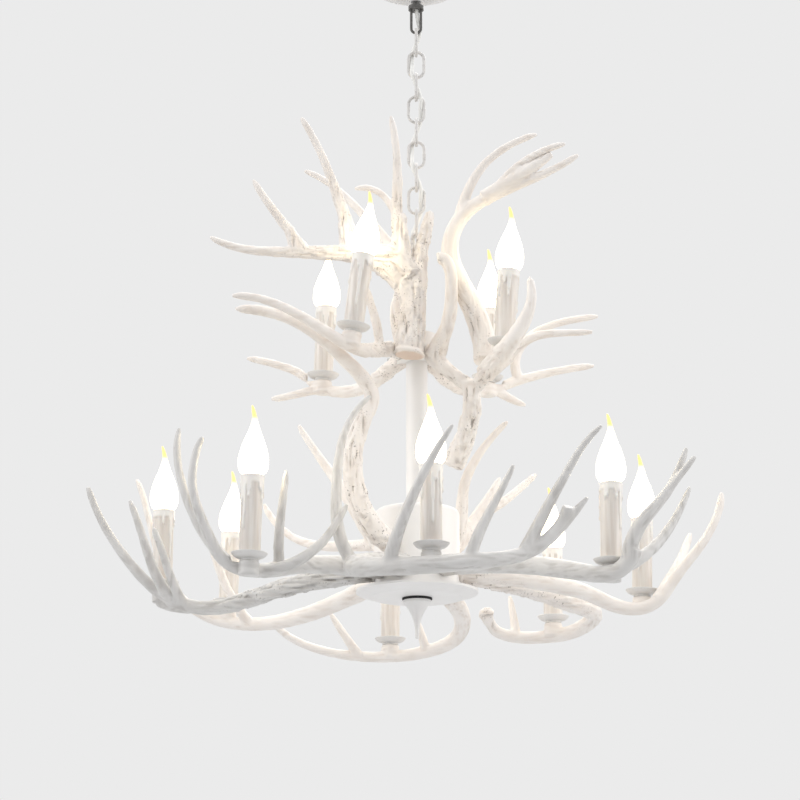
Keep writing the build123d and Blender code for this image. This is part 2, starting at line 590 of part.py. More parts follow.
# Where two antlers cross, the first is carved to lie against the second.
CROSSINGS = [
    ("tall_right_antler", "right_long_antler"), ("upper_front_left_antler", "tall_left_antler"),
]


def branch_solid(branch, root_z):
    """A tapered round branch: circles along a smooth centre line, lofted into one skin."""
    centre = Spline(*[Vector(x, y, z + root_z) for x, y, z in branch.points])
    count = 2 * len(branch.points)
    side = (centre % 0).cross(Vector(*SECTION_SIDE)).normalized()
    sections = []
    for step in range(count + 1):
        share = step / count
        ahead = centre % share
        side = (side - ahead * side.dot(ahead)).normalized()
        width = branch.thick + (branch.thin - branch.thick) * share ** TAPER_POWER
        sections.append(Plane(origin=centre @ share, x_dir=side, z_dir=ahead) * Circle(width / 2))
    return loft(sections)


def seat_post(light):
    """The flat-topped stub on the antler that the drip dish stands on."""
    post = Cylinder(SEAT_D / 2, SEAT_HEIGHT, align=CENTRED_DOWN)
    return light_place(light) * post


def seat_clear(light):
    """The room above a seat, and the socket in it, that an antler leaves for its candle."""
    above = Cylinder(DRIP_D / 2 + FIT_CLEARANCE, DRIP_RIM_HEIGHT + SLEEVE_RISE, align=CENTRED_UP)
    socket = Pos(0, 0, -NIPPLE_SINK - 1) * Cylinder(
        NIPPLE_D / 2 + FIT_CLEARANCE, NIPPLE_SINK + 2, align=CENTRED_UP)
    return light_place(light) * (above + socket)


def bolt_frame(antler):
    """A bolt's frame: its head's rim rests on the hub's round inner wall, and it points outwards."""
    hub_d = LOWER_HUB_D if antler.tier == "lower" else UPPER_HUB_D
    inner_r = hub_d / 2 - HUB_WALL
    seat_r = math.sqrt(inner_r ** 2 - (BOLT_HEAD_D / 2) ** 2) - BOLT_CLEARANCE
    angle = math.radians(antler.root)
    out = Vector(math.cos(angle), math.sin(angle), 0)
    floor_z = DISH_TOP_Z if antler.tier == "lower" else UPPER_HUB_Z + HUB_WALL
    lowest = floor_z + BOLT_HEAD_D / 2 + BOLT_CLEARANCE
    height = max(lowest, TIER_Z[antler.tier] + antler.branches[0].points[0][2])
    return Plane(origin=out * seat_r + Vector(0, 0, height), z_dir=out)


def bolt_hole(antler):
    hole = Cylinder(BOLT_D / 2 + BOLT_CLEARANCE, HUB_WALL + BOLT_REACH + 1, align=CENTRED_UP)
    return bolt_frame(antler) * (Pos(0, 0, -0.5) * hole)


def antler_bolt(antler):
    shank = Cylinder(BOLT_D / 2, HUB_WALL + BOLT_REACH, align=CENTRED_UP)
    head = Cylinder(BOLT_HEAD_D / 2, BOLT_HEAD_HEIGHT, align=CENTRED_DOWN)
    return bolt_frame(antler) * (shank + head)


def antler_solid(antler, hubs):
    root_z = TIER_Z[antler.tier]
    body = branch_solid(antler.branches[0], root_z)
    for branch in antler.branches[1:]:
        body += branch_solid(branch, root_z)
    carried = [light for light in LIGHTS if light.name in antler.lights]
    for light in carried:
        body += seat_post(light)
    for hub in hubs:
        body -= hub
    for light in carried:
        body -= seat_clear(light)
    if antler.root is not None:
        body -= bolt_hole(antler)
    return body.solids().sort_by(SortBy.VOLUME)[-1]


def hub_envelopes():
    """The full bodies of both hubs, the dish and the stem, which every antler is cut clear of."""
    drum = Pos(0, 0, DISH_TOP_Z) * Cylinder(LOWER_HUB_D / 2, DRUM_HEIGHT + CAP_HEIGHT, align=CENTRED_UP)
    hub = Pos(0, 0, UPPER_HUB_Z) * Cylinder(UPPER_HUB_D / 2, UPPER_HUB_HEIGHT, align=CENTRED_UP)
    dish = Pos(0, 0, DISH_BOTTOM_Z) * Cylinder(DISH_D / 2, DISH_DEPTH, align=CENTRED_UP)
    return [drum, hub, dish]


def make_antlers():
    hubs = hub_envelopes()
    made = {name: antler_solid(antler, hubs) for name, antler in ANTLERS.items()}
    for cut, keeper in CROSSINGS:
        made[cut] = (made[cut] - made[keeper]).solids().sort_by(SortBy.VOLUME)[-1]
    return made


def write(name, solids):
    shapes = solids if isinstance(solids, list) else [solids]
    pieces = [s for shape in shapes for s in shape.solids()]
    export_step(pieces[0] if len(pieces) == 1 else Compound(children=pieces), f"parts/{name}.step")


def main():
    write("ceiling_bracket", ceiling_bracket())
    write("tube_nut", tube_nut())
    write("canopy", canopy())
    write("canopy_collar", canopy_collar())
    write("ceiling_hook", ceiling_hook())
    for number in range(1, LINK_COUNT + 1):
        write(f"chain_link_{number}", chain_link(number))
    write("stem_bail", stem_bail())
    write("power_cord", power_cord())
    write("stem_rod", stem_rod())
    write("upper_tube", upper_tube())
    write("stem_tube", stem_tube())
    write("bottom_dish", bottom_dish())
    write("finial", finial())
    write("stem_nuts", stem_nuts())

    bolted = [antler for antler in ANTLERS.values() if antler.root is not None]
    upper_hub = upper_hub_body()
    lower_hub = lower_hub_body()
    hub_cap = hub_cap_body()
    for antler in bolted:
        hole = bolt_hole(antler)
        upper_hub -= hole
        lower_hub -= hole
        hub_cap -= hole
    write("upper_hub", upper_hub)
    write("lower_hub", lower_hub)
    write("hub_cap", hub_cap)
    write("antler_bolts", [antler_bolt(antler) for antler in bolted])
    for name, solid in make_antlers().items():
        write(name, solid)

    places = {light.name: light_place(light) for light in LIGHTS}
    write("drip_dishes", [place * drip_dish() for place in places.values()])
    write("candle_sleeves", [place * candle_sleeve() for place in places.values()])
    write("lampholders", [place * lampholder() for place in places.values()])
    write("holder_nipples", [place * holder_nipple() for place in places.values()])
    for name, place in places.items():
        write(f"bulb_{name}", place * bulb())


main()
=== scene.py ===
import json
import logging
import math
from dataclasses import dataclass, field
from enum import Enum

import bmesh
import bpy
import numpy as np
from mathutils import Matrix, Vector


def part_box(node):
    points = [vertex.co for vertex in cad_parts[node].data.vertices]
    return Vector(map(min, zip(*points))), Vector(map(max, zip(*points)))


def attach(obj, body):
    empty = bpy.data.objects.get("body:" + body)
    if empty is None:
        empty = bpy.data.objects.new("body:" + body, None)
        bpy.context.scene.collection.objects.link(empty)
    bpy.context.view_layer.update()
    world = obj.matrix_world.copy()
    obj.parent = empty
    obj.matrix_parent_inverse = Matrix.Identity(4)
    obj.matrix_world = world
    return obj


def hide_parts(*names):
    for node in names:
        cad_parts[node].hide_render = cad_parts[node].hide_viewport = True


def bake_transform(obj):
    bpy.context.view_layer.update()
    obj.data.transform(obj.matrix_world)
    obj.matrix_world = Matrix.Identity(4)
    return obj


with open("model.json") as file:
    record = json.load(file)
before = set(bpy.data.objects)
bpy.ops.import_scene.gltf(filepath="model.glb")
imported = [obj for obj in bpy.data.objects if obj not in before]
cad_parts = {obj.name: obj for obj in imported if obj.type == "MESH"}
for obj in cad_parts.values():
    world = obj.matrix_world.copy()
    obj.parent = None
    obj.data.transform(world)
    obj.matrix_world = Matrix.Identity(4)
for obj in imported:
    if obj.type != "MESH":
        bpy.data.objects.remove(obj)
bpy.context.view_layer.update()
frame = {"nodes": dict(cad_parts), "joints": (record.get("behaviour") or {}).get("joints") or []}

logging.basicConfig(level=logging.INFO, format="%(message)s")
log = logging.getLogger("chandelier")

MM = 0.001

PENDANT = "pendant"
FITTING = "ceiling_fitting"
ROUND_SEGMENTS = 48
TUBE_ROUNDING = 5


# ---- mesh helpers

def mesh_from(name: str, points: np.ndarray, faces: list) -> bpy.types.Mesh:
    """Makes a mesh from points and faces.

    Args:
        name: the mesh's name.
        points: one row of x, y, z per point, in metres.
        faces: index lists, anticlockwise seen from outside.

    Returns:
        The new mesh, shaded smooth.
    """
    mesh = bpy.data.meshes.new(name)
    mesh.from_pydata([tuple(p) for p in points], [], faces)
    mesh.validate()
    mesh.shade_smooth()
    return mesh


def show(name: str, mesh: bpy.types.Mesh) -> bpy.types.Object:
    """Links a mesh to the scene as an object at the origin.

    Args:
        name: the piece's name.
        mesh: its mesh, in place.

    Returns:
        The object.
    """
    piece = bpy.data.objects.new(name, mesh)
    bpy.context.scene.collection.objects.link(piece)
    return piece


def evaluated_mesh(piece: bpy.types.Object) -> bpy.types.Mesh:
    """Reads a piece's mesh with its modifiers applied.

    Args:
        piece: an object with live modifiers.

    Returns:
        A plain mesh.
    """
    depsgraph = bpy.context.evaluated_depsgraph_get()
    return bpy.data.meshes.new_from_object(piece.evaluated_get(depsgraph))


def merged_copy(node: str) -> bpy.types.Mesh:
    """Copies a CAD node's mesh and joins its loose triangles.

    Args:
        node: the CAD node's name.

    Returns:
        A closed mesh, in place.
    """
    work = bmesh.new()
    work.from_mesh(frame["nodes"][node].data)
    bmesh.ops.remove_doubles(work, verts=work.verts, dist=0.005 * MM)
    mesh = bpy.data.meshes.new(node + "_copy")
    work.to_mesh(mesh)
    work.free()
    return mesh


def coordinates(mesh: bpy.types.Mesh) -> np.ndarray:
    """Reads a mesh's points as an array of x, y, z rows."""
    flat = np.empty(len(mesh.vertices) * 3, np.float32)
    mesh.vertices.foreach_get("co", flat)
    return flat.reshape(-1, 3).astype(float)


def move_points(mesh: bpy.types.Mesh, points: np.ndarray) -> None:
    """Writes new places for a mesh's points."""
    mesh.vertices.foreach_set("co", points.astype(np.float32).ravel())
    mesh.update()


def point_normals(mesh: bpy.types.Mesh) -> np.ndarray:
    """Reads a mesh's point normals as an array."""
    flat = np.empty(len(mesh.vertices) * 3, np.float32)
    mesh.vertex_normals.foreach_get("vector", flat)
    return flat.reshape(-1, 3).astype(float)


def keep_values(mesh: bpy.types.Mesh, name: str, values: np.ndarray) -> None:
    """Stores one number per point as a named attribute for the materials."""
    attribute = mesh.attributes.new(name, "FLOAT", "POINT")
    attribute.data.foreach_set("value", values.astype(np.float32))


def tube_along(name: str, points: list, bevel: float, resolution: int, widths: tuple = ()) -> bpy.types.Mesh:
    """Builds a round tube along a smooth line, with closed ends.

    Args:
        name: the curve's name.
        points: the line's control points in metres.
        bevel: the tube's radius, or the unit that widths are given in.
        resolution: steps between two control points.
        widths: the tube's width at each control point, or nothing for an even tube.

    Returns:
        A closed mesh, in place.
    """
    curve = bpy.data.curves.new(name, "CURVE")
    curve.dimensions = "3D"
    spline = curve.splines.new("NURBS")
    spline.points.add(len(points) - 1)
    for point, place, width in zip(spline.points, points, widths or [1.0] * len(points)):
        point.co = (*place, 1)
        point.radius = width
    spline.order_u = 3
    spline.use_endpoint_u = True
    spline.resolution_u = resolution
    curve.bevel_depth = bevel
    curve.bevel_resolution = TUBE_ROUNDING
    curve.use_fill_caps = True
    line = show(name, curve)
    mesh = evaluated_mesh(line)
    bpy.data.objects.remove(line)
    return mesh


def lathe(name: str, profile: list, segments: int = ROUND_SEGMENTS) -> bpy.types.Mesh:
    """Turns a closed profile about the Z axis.

    Args:
        name: the mesh's name.
        profile: (radius, height) corners in metres, anticlockwise in the plane of radius and height.
        segments: steps round the axis.

    Returns:
        A closed mesh. A corner on the axis becomes one point.
    """
    points = []
    rows = []
    for radius, height in profile:
        if radius <= 0:
            rows.append([len(points)] * segments)
            points.append((0.0, 0.0, height))
            continue
        rows.append(list(range(len(points), len(points) + segments)))
        for step in range(segments):
            angle = 2 * math.pi * step / segments
            points.append((radius * math.cos(angle), radius * math.sin(angle), height))
    faces = []
    for low, high in zip(rows, rows[1:] + rows[:1]):
        for step in range(segments):
            after = (step + 1) % segments
            corners = [low[step], low[after], high[after], high[step]]
            corners = list(dict.fromkeys(corners))
            if len(corners) > 2:
                faces.append(corners)
    return mesh_from(name, np.array(points), faces)


class Neighbours:
    """Each point's neighbours in a mesh, one column for each, for smoothing values over its surface."""

    def __init__(self, mesh: bpy.types.Mesh) -> None:
        """Reads the mesh's edges in both directions. A missing neighbour is the row after the last point."""
        flat = np.empty(len(mesh.edges) * 2, np.int32)
        mesh.edges.foreach_get("vertices", flat)
        pairs = flat.reshape(-1, 2)
        self.count = len(mesh.vertices)
        at = np.concatenate([pairs[:, 0], pairs[:, 1]])
        other = np.concatenate([pairs[:, 1], pairs[:, 0]])
        order = np.argsort(at, kind="stable")
        at = at[order]
        first = np.searchsorted(at, np.arange(self.count))
        column = np.arange(len(at)) - first[at]
        self.others = np.full((self.count, column.max() + 1), self.count)
        self.others[at, column] = other[order]
        self.there = (self.others < self.count).astype(float)

    def mean(self, values: np.ndarray, weight: np.ndarray = None) -> np.ndarray:
        """Averages each point's neighbours.

        Args:
            values: one number per point, or one row per point.
            weight: one number per point and neighbour, or nothing for an even mean.

        Returns:
            The means, in the shape of values.
        """
        share = self.there if weight is None else weight
        share = share / np.maximum(share.sum(axis=1), 1e-9)[:, None]
        padded = np.concatenate([values, np.zeros((1,) + values.shape[1:])])
        total = np.zeros(values.shape)
        for column in range(self.others.shape[1]):
            part = share[:, column] if values.ndim == 1 else share[:, column, None]
            total += part * padded[self.others[:, column]]
        return total


# ---- finishes

class NodeKit:
    """Adds nodes to one material and links them."""

    def __init__(self, name: str) -> None:
        """Starts a material with a Principled shader."""
        self.material = bpy.data.materials.new(name)
        self.material.use_nodes = True
        self.tree = self.material.node_tree
        self.shader = self.tree.nodes["Principled BSDF"]

    def add(self, kind: str, **settings: object) -> bpy.types.Node:
        """Adds a node.

        Args:
            kind: the node's type name.
            settings: its properties by name.

        Returns:
            The node.
        """
        node = self.tree.nodes.new(kind)
        for key, value in settings.items():
            setattr(node, key, value)
        return node

    def link(self, source: bpy.types.NodeSocket, target: bpy.types.NodeSocket) -> None:
        """Links an output to an input."""
        self.tree.links.new(source, target)

    def place(self) -> bpy.types.NodeSocket:
        """Gives the object coordinates."""
        return self.add("ShaderNodeTexCoord").outputs["Object"]

    def noise(self, scale: float, detail: float = 3.0, stretch: tuple = (1, 1, 1)) -> bpy.types.NodeSocket:
        """Adds a noise pattern on the object coordinates.

        Args:
            scale: waves per metre.
            detail: octaves.
            stretch: scale along X, Y and Z.

        Returns:
            The noise's value.
        """
        mapping = self.add("ShaderNodeMapping")
        mapping.inputs["Scale"].default_value = stretch
        self.link(self.place(), mapping.inputs["Vector"])
        noise = self.add("ShaderNodeTexNoise")
        noise.inputs["Scale"].default_value = scale
        noise.inputs["Detail"].default_value = detail
        self.link(mapping.outputs["Vector"], noise.inputs["Vector"])
        return noise.outputs["Fac"]

    def ramp(self, value: bpy.types.NodeSocket, low: float, high: float) -> bpy.types.NodeSocket:
        """Maps a value's range from low to high onto 0 to 1, and clamps it."""
        node = self.add("ShaderNodeMapRange")
        self.link(value, node.inputs["Value"])
        node.inputs["From Min"].default_value = low
        node.inputs["From Max"].default_value = high
        return node.outputs["Result"]

    def between(self, share: bpy.types.NodeSocket, low: float, high: float) -> bpy.types.NodeSocket:
        """Spreads a share from 0 to 1 between two numbers."""
        node = self.add("ShaderNodeMapRange")
        self.link(share, node.inputs["Value"])
        node.inputs["To Min"].default_value = low
        node.inputs["To Max"].default_value = high
        return node.outputs["Result"]

    def attribute(self, name: str) -> bpy.types.NodeSocket:
        """Reads a named value of the mesh."""
        return self.add("ShaderNodeAttribute", attribute_name=name).outputs["Fac"]

    def times(self, a: bpy.types.NodeSocket, b: object) -> bpy.types.NodeSocket:
        """Multiplies a value by another value or by a number."""
        node = self.add("ShaderNodeMath", operation="MULTIPLY")
        self.link(a, node.inputs[0])
        if isinstance(b, (int, float)):
            node.inputs[1].default_value = b
        else:
            self.link(b, node.inputs[1])
        return node.outputs[0]

    def mix(self, share: bpy.types.NodeSocket, a: object, b: object) -> bpy.types.NodeSocket:
        """Mixes two colours.

        Args:
            share: 0 gives a, 1 gives b.
            a: a colour or a socket.
            b: a colour or a socket.

        Returns:
            The mixed colour.
        """
        node = self.add("ShaderNodeMix", data_type="RGBA")
        self.link(share, node.inputs["Factor"])
        for name, value in (("A", a), ("B", b)):
            socket = [s for s in node.inputs if s.name == name and s.type == "RGBA"][0]
            if isinstance(value, tuple):
                socket.default_value = (*value, 1.0)
            else:
                self.link(value, socket)
        return [s for s in node.outputs if s.type == "RGBA"][0]

    def bump(self, height: bpy.types.NodeSocket, depth: float, strength: float) -> None:
        """Roughens the surface.

        Args:
            height: the relief's value from 0 to 1.
            depth: its depth in metres.
            strength: the effect's strength.
        """
        node = self.add("ShaderNodeBump")
        node.inputs["Distance"].default_value = depth
        node.inputs["Strength"].default_value = strength
        self.link(height, node.inputs["Height"])
        self.link(node.outputs["Normal"], self.shader.inputs["Normal"])


@dataclass(frozen=True)
class ResinFinish:
    """Painted cast resin that imitates antler: ivory, darker in its grooves, specked where it is rough."""

    name: str
    pale: tuple
    deep: tuple
    speck: tuple = (0.20, 0.17, 0.15)
    sawn: tuple = (0.72, 0.58, 0.48)
    roughness: tuple = (0.42, 0.66)

    def material(self) -> bpy.types.Material:
        """Builds the material.

        Returns:
            A material that reads the mesh's groove, rough and sawn values.
        """
        kit = NodeKit(self.name)
        groove = kit.ramp(kit.attribute("groove"), 0.3, -2.0)
        cloud = kit.ramp(kit.noise(22.0, 4.0), 0.35, 0.7)
        colour = kit.mix(kit.times(cloud, 0.45), self.pale, self.deep)
        colour = kit.mix(kit.times(groove, 0.75), colour, self.deep)
        rough = kit.attribute("rough")
        dots = kit.ramp(kit.noise(420.0, 2.0), 0.60, 0.66)
        patches = kit.ramp(kit.noise(60.0, 2.0), 0.45, 0.6)
        specks = kit.times(kit.times(dots, patches), rough)
        colour = kit.mix(kit.times(specks, 0.85), colour, self.speck)
        cracks = kit.times(kit.ramp(kit.attribute("groove"), -1.4, -2.4), rough)
        colour = kit.mix(kit.times(cracks, 0.7), colour, self.speck)
        colour = kit.mix(kit.attribute("sawn"), colour, self.sawn)
        kit.link(colour, kit.shader.inputs["Base Color"])
        kit.link(kit.between(kit.noise(90.0, 2.0), *self.roughness), kit.shader.inputs["Roughness"])
        kit.bump(kit.noise(700.0, 3.0), 0.25 * MM, 0.5)
        return kit.material


@dataclass(frozen=True)
class PaintFinish:
    """Enamel on turned or drawn metal, or on wire: nearly even, with faint runs and rubbed edges."""

    name: str
    pale: tuple
    deep: tuple
    worn: tuple = (0.45, 0.44, 0.42)
    wear: float = 0.0
    roughness: float = 0.38
    metallic: float = 0.0

    def material(self) -> bpy.types.Material:
        """Builds the material.

        Returns:
            A material on the object coordinates.
        """
        kit = NodeKit(self.name)
        kit.shader.inputs["Metallic"].default_value = self.metallic
        cloud = kit.ramp(kit.noise(30.0, 4.0, (1, 1, 0.3)), 0.3, 0.7)
        colour = kit.mix(kit.times(cloud, 0.5), self.pale, self.deep)
        chips = kit.ramp(kit.noise(380.0, 4.0), 0.60, 0.66)
        colour = kit.mix(kit.times(chips, self.wear), colour, self.worn)
        kit.link(colour, kit.shader.inputs["Base Color"])
        polish = kit.between(kit.noise(140.0, 2.0), self.roughness - 0.08, self.roughness + 0.12)
        kit.link(polish, kit.shader.inputs["Roughness"])
        kit.bump(kit.noise(260.0, 3.0), 0.12 * MM, 0.35)
        return kit.material


@dataclass(frozen=True)
class WaxFinish:
    """The candle tube's moulded wax: beige between its drips, paler on them."""

    name: str
    tube: tuple
    drip: tuple

    def material(self) -> bpy.types.Material:
        """Builds the material.

        Returns:
            A material that reads the mesh's drip value.
        """
        kit = NodeKit(self.name)
        streak = kit.ramp(kit.noise(240.0, 3.0, (1, 1, 0.06)), 0.35, 0.65)
        tube = kit.mix(kit.times(streak, 0.6), self.tube, self.drip)
        colour = kit.mix(kit.attribute("drip"), tube, self.drip)
        kit.link(colour, kit.shader.inputs["Base Color"])
        kit.shader.inputs["Roughness"].default_value = 0.34
        kit.shader.inputs["Subsurface Weight"].default_value = 0.12
        kit.shader.inputs["Subsurface Radius"].default_value = (0.004, 0.003, 0.002)
        kit.bump(kit.noise(500.0, 2.0, (1, 1, 0.15)), 0.2 * MM, 0.4)
        return kit.material


@dataclass(frozen=True)
class LampFinish:
    """Frosted glass that is alight: white in the body, amber at the flame tip."""

    name: str
    body: tuple
    flame: tuple
    glow: float
    tip_glow: float

    def material(self) -> bpy.types.Material:
        """Builds the material.

        Returns:
            A material that reads the mesh's tip value.
        """
        kit = NodeKit(self.name)
        tip = kit.ramp(kit.attribute("tip"), 0.0, 1.0)
        frost = kit.ramp(kit.noise(150.0, 2.0), 0.3, 0.7)
        body = kit.mix(kit.times(frost, 0.2), self.body, (0.96, 0.95, 0.92))
        colour = kit.mix(tip, body, self.flame)
        kit.link(colour, kit.shader.inputs["Base Color"])
        kit.link(colour, kit.shader.inputs["Emission Color"])
        kit.link(kit.between(tip, self.glow, self.tip_glow), kit.shader.inputs["Emission Strength"])
        kit.shader.inputs["Roughness"].default_value = 0.3
        kit.bump(kit.noise(900.0, 2.0), 0.05 * MM, 0.2)
        return kit.material


class Finish(Enum):
    """The finishes of this chandelier, by the part of it that wears them."""

    WARM_RESIN = ResinFinish("warm_ivory_resin", (0.91, 0.865, 0.82), (0.775, 0.70, 0.635))
    # Painted shade: a darker, greyer copy of the warm ivory resin, for the lower front antlers whose sides
    # towards the viewer lie in shade.
    COOL_RESIN = ResinFinish("cool_ivory_resin", (0.71, 0.695, 0.675), (0.50, 0.48, 0.455),
                             roughness=(0.36, 0.56))
    TURNED = PaintFinish("white_enamel", (0.87, 0.855, 0.84), (0.80, 0.78, 0.755))
    DISH = PaintFinish("drip_dish_enamel", (0.76, 0.745, 0.725), (0.66, 0.64, 0.61), wear=0.15)
    CHAIN = PaintFinish("chain_enamel", (0.76, 0.74, 0.72), (0.56, 0.54, 0.515), wear=0.8, roughness=0.42)
    HOOK = PaintFinish("dark_hook_enamel", (0.12, 0.115, 0.11), (0.06, 0.058, 0.055), wear=0.2)
    STEEL = PaintFinish("zinc_plate", (0.62, 0.61, 0.60), (0.48, 0.47, 0.46), metallic=1.0, roughness=0.34)
    CAP = PaintFinish("lamp_cap_nickel", (0.74, 0.72, 0.68), (0.58, 0.56, 0.52), metallic=1.0, roughness=0.28)
    # Painted shadow: near-black finish of the ring that stands for the shadow in the gap above the finial.
    GASKET = PaintFinish("black_gasket", (0.016, 0.015, 0.015), (0.008, 0.008, 0.008), roughness=0.8)
    HOLDER = PaintFinish("holder_plastic", (0.80, 0.78, 0.74), (0.74, 0.71, 0.66), roughness=0.5)
    CORD = PaintFinish("cord_sheath", (0.76, 0.75, 0.73), (0.60, 0.585, 0.56), wear=0.5, roughness=0.5)
    WAX = WaxFinish("candle_wax", (0.68, 0.62, 0.56), (0.88, 0.85, 0.805))
    LAMP = LampFinish("frosted_lamp", (1.0, 0.865, 0.58), (0.95, 0.64, 0.24), 5.8, 0.62)

    def on(self, *pieces: bpy.types.Object) -> None:
        """Gives this finish to pieces, as their only material."""
        material = bpy.data.materials.get(self.value.name) or self.value.material()
        for piece in pieces:
            piece.data.materials.clear()
            piece.data.materials.append(material)


def settle(piece: bpy.types.Object, body: str, slot: str, *nodes: str) -> None:
    """Joins a finished piece to the frame.

    Args:
        piece: the object, in place.
        body: the CAD body it moves with.
        slot: the record's material slot; not used.
        nodes: the CAD nodes it stands for.
    """
    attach(piece, body)
    if nodes:
        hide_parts(*nodes)
    log.info("%s on %s, %d faces", piece.name, body, len(piece.data.polygons))


# ---- the lights

@dataclass
class CandleLight:
    """One light: its place comes from the CAD bulb and from the joint that the bulb slides along."""

    name: str
    axis: Vector
    seat: Vector
    sleeve_r: float = 12.5 * MM
    sleeve_wall: float = 1.3 * MM
    sleeve_foot: float = 6.0 * MM
    sleeve_top: float = 100.0 * MM
    bulb_r: float = 17.5 * MM
    bulb_gap: float = 0.3 * MM
    glass_length: float = 62.0 * MM
    flame_length: float = 21.0 * MM
    flame_lean: float = 4.0 * MM
    cap_r: float = 6.8 * MM
    cap_length: float = 22.0 * MM
    thread_pitch: float = 2.8 * MM
    thread_depth: float = 0.45 * MM
    tube_segments: int = 96
    tube_rows: int = 70
    drip_count: int = 13
    drip_widths: tuple = (0.10, 0.20)
    drip_lengths: tuple = (8.0, 14.0, 22.0, 34.0, 52.0)
    wax_depth: float = 1.1 * MM

    @classmethod
    def from_joint(cls, joint: dict) -> "CandleLight":
        """Reads a light's place from its bulb's joint.

        Args:
            joint: the record's slide joint of the bulb.

        Returns:
            The light.
        """
        node = joint["child"]
        axis = Vector(joint["axis"]).normalized()
        points = coordinates(frame["nodes"][node].data)
        along = points @ np.array(axis)
        foot = points[along < along.min() + 0.02 * MM].mean(axis=0)
        light = cls(node.removeprefix("bulb_"), axis, Vector(foot))
        light.seat = light.seat - axis * (light.sleeve_top + light.bulb_gap - light.cap_length)
        return light

    def matrix(self) -> Matrix:
        """Gives the matrix from the candle's own frame, its seat at the origin, to the row frame."""
        turn = Vector((0, 0, 1)).rotation_difference(self.axis).to_matrix().to_4x4()
        return Matrix.Translation(self.seat) @ turn

    def glass(self) -> bpy.types.Mesh:
        """Builds the egg-shaped glass with its leaning flame tip.

        Returns:
            A closed mesh with a tip value that rises along the flame.
        """
        foot = self.sleeve_top + self.bulb_gap
        shape = [(0.0, 0.60), (0.02, 0.68), (0.06, 0.86), (0.12, 0.955), (0.18, 0.99), (0.25, 1.0),
                 (0.32, 0.99), (0.40, 0.945), (0.48, 0.875), (0.57, 0.775), (0.66, 0.66), (0.75, 0.53),
                 (0.84, 0.405), (0.92, 0.305), (1.0, 0.225)]
        profile = [(0.0, foot)]
        profile += [(self.bulb_r * wide, foot + self.glass_length * high) for high, wide in shape]
        top = foot + self.glass_length
        for share, wide in ((0.15, 0.185), (0.35, 0.155), (0.6, 0.13), (0.82, 0.10), (0.95, 0.065)):
            profile.append((self.bulb_r * wide, top + self.flame_length * share))
        profile.append((0.0, top + self.flame_length))
        mesh = lathe(f"glass_{self.name}", profile)
        points = coordinates(mesh)
        share = np.clip((points[:, 2] - top) / self.flame_length, 0, 1)
        points[:, 0] -= self.flame_lean * share ** 1.6
        move_points(mesh, points)
        blush = np.clip((points[:, 2] - top + 0.25 * self.flame_length) / (0.6 * self.flame_length), 0, 1)
        keep_values(mesh, "tip", blush)
        mesh.transform(self.matrix())
        return mesh

    def cap(self) -> bpy.types.Mesh:
        """Builds the lamp's screw cap, its thread as round ribs, with the contact at its foot.

        Returns:
            A closed mesh.
        """
        foot = self.sleeve_top + self.bulb_gap - self.cap_length
        steps = 36
        profile = [(0.0, foot), (0.3 * self.cap_r, foot), (0.45 * self.cap_r, foot + 1.2 * MM),
                   (0.8 * self.cap_r, foot + 2.2 * MM)]
        for step in range(steps + 1):
            rise = foot + 3.0 * MM + (self.cap_length - 4.5 * MM) * step / steps
            wave = math.cos(2 * math.pi * (rise - foot) / self.thread_pitch)
            profile.append((self.cap_r - self.thread_depth * (1 - wave) / 2 - 0.1 * MM, rise))
        top = foot + self.cap_length + 0.5 * MM
        profile += [(self.cap_r - 0.2 * MM, top), (0.0, top)]
        mesh = lathe(f"cap_{self.name}", profile, 40)
        mesh.transform(self.matrix())
        return mesh

    def sleeve(self, seed: int) -> bpy.types.Mesh:
        """Builds the candle tube with wax drips that run down from its rim.

        Args:
            seed: picks the drips' places and lengths.

        Returns:
            A closed tube with a drip value that is 1 on the wax.
        """
        rng = np.random.default_rng(seed)
        segments = self.tube_segments
        rows = self.tube_rows
        angles = 2 * math.pi * np.arange(segments) / segments
        reach = np.full(segments, 11.0 * MM)
        for _ in range(self.drip_count):
            centre = rng.uniform(0, 2 * math.pi)
            width = rng.uniform(*self.drip_widths)
            length = rng.choice(self.drip_lengths) * MM * rng.uniform(0.8, 1.2)
            off = np.abs((angles - centre + math.pi) % (2 * math.pi) - math.pi)
            reach = np.maximum(reach, 9.0 * MM + length * np.exp(-(off / width) ** 4))
        heights = self.sleeve_top - (self.sleeve_top - self.sleeve_foot) * np.linspace(0, 1, rows) ** 1.2
        points = []
        drips = []
        for height in heights:
            below = self.sleeve_top - height
            edge = np.clip((reach - below) / (3.0 * MM), 0, 1)
            wax = edge * edge * (3 - 2 * edge)
            bead = np.exp(-((below - reach + 3.5 * MM) / (2.2 * MM)) ** 2)
            lip = 0.6 * MM * math.exp(-(below / (3.0 * MM)) ** 2)
            radius = self.sleeve_r + wax * (self.wax_depth + lip + 0.8 * MM * bead * (reach > 14 * MM))
            round_off = min(1.0, below / (0.8 * MM))
            radius = radius - 0.8 * MM * (1 - math.sqrt(1 - (1 - round_off) ** 2))
            for r, angle in zip(radius, angles):
                points.append((r * math.cos(angle), r * math.sin(angle), height))
            drips.append(wax)
        inner = self.sleeve_r - self.sleeve_wall
        for height in (self.sleeve_foot, self.sleeve_top - 0.4 * MM):
            for angle in angles:
                points.append((inner * math.cos(angle), inner * math.sin(angle), height))
            drips.append(np.zeros(segments))
        faces = []
        count = rows + 2
        for row in range(count):
            for step in range(segments):
                after = (step + 1) % segments
                below_row = (row + 1) % count
                faces.append([row * segments + step, below_row * segments + step,
                              below_row * segments + after, row * segments + after])
        mesh = mesh_from(f"sleeve_{self.name}", np.array(points), faces)
        keep_values(mesh, "drip", np.concatenate(drips))
        mesh.transform(self.matrix())
        return mesh


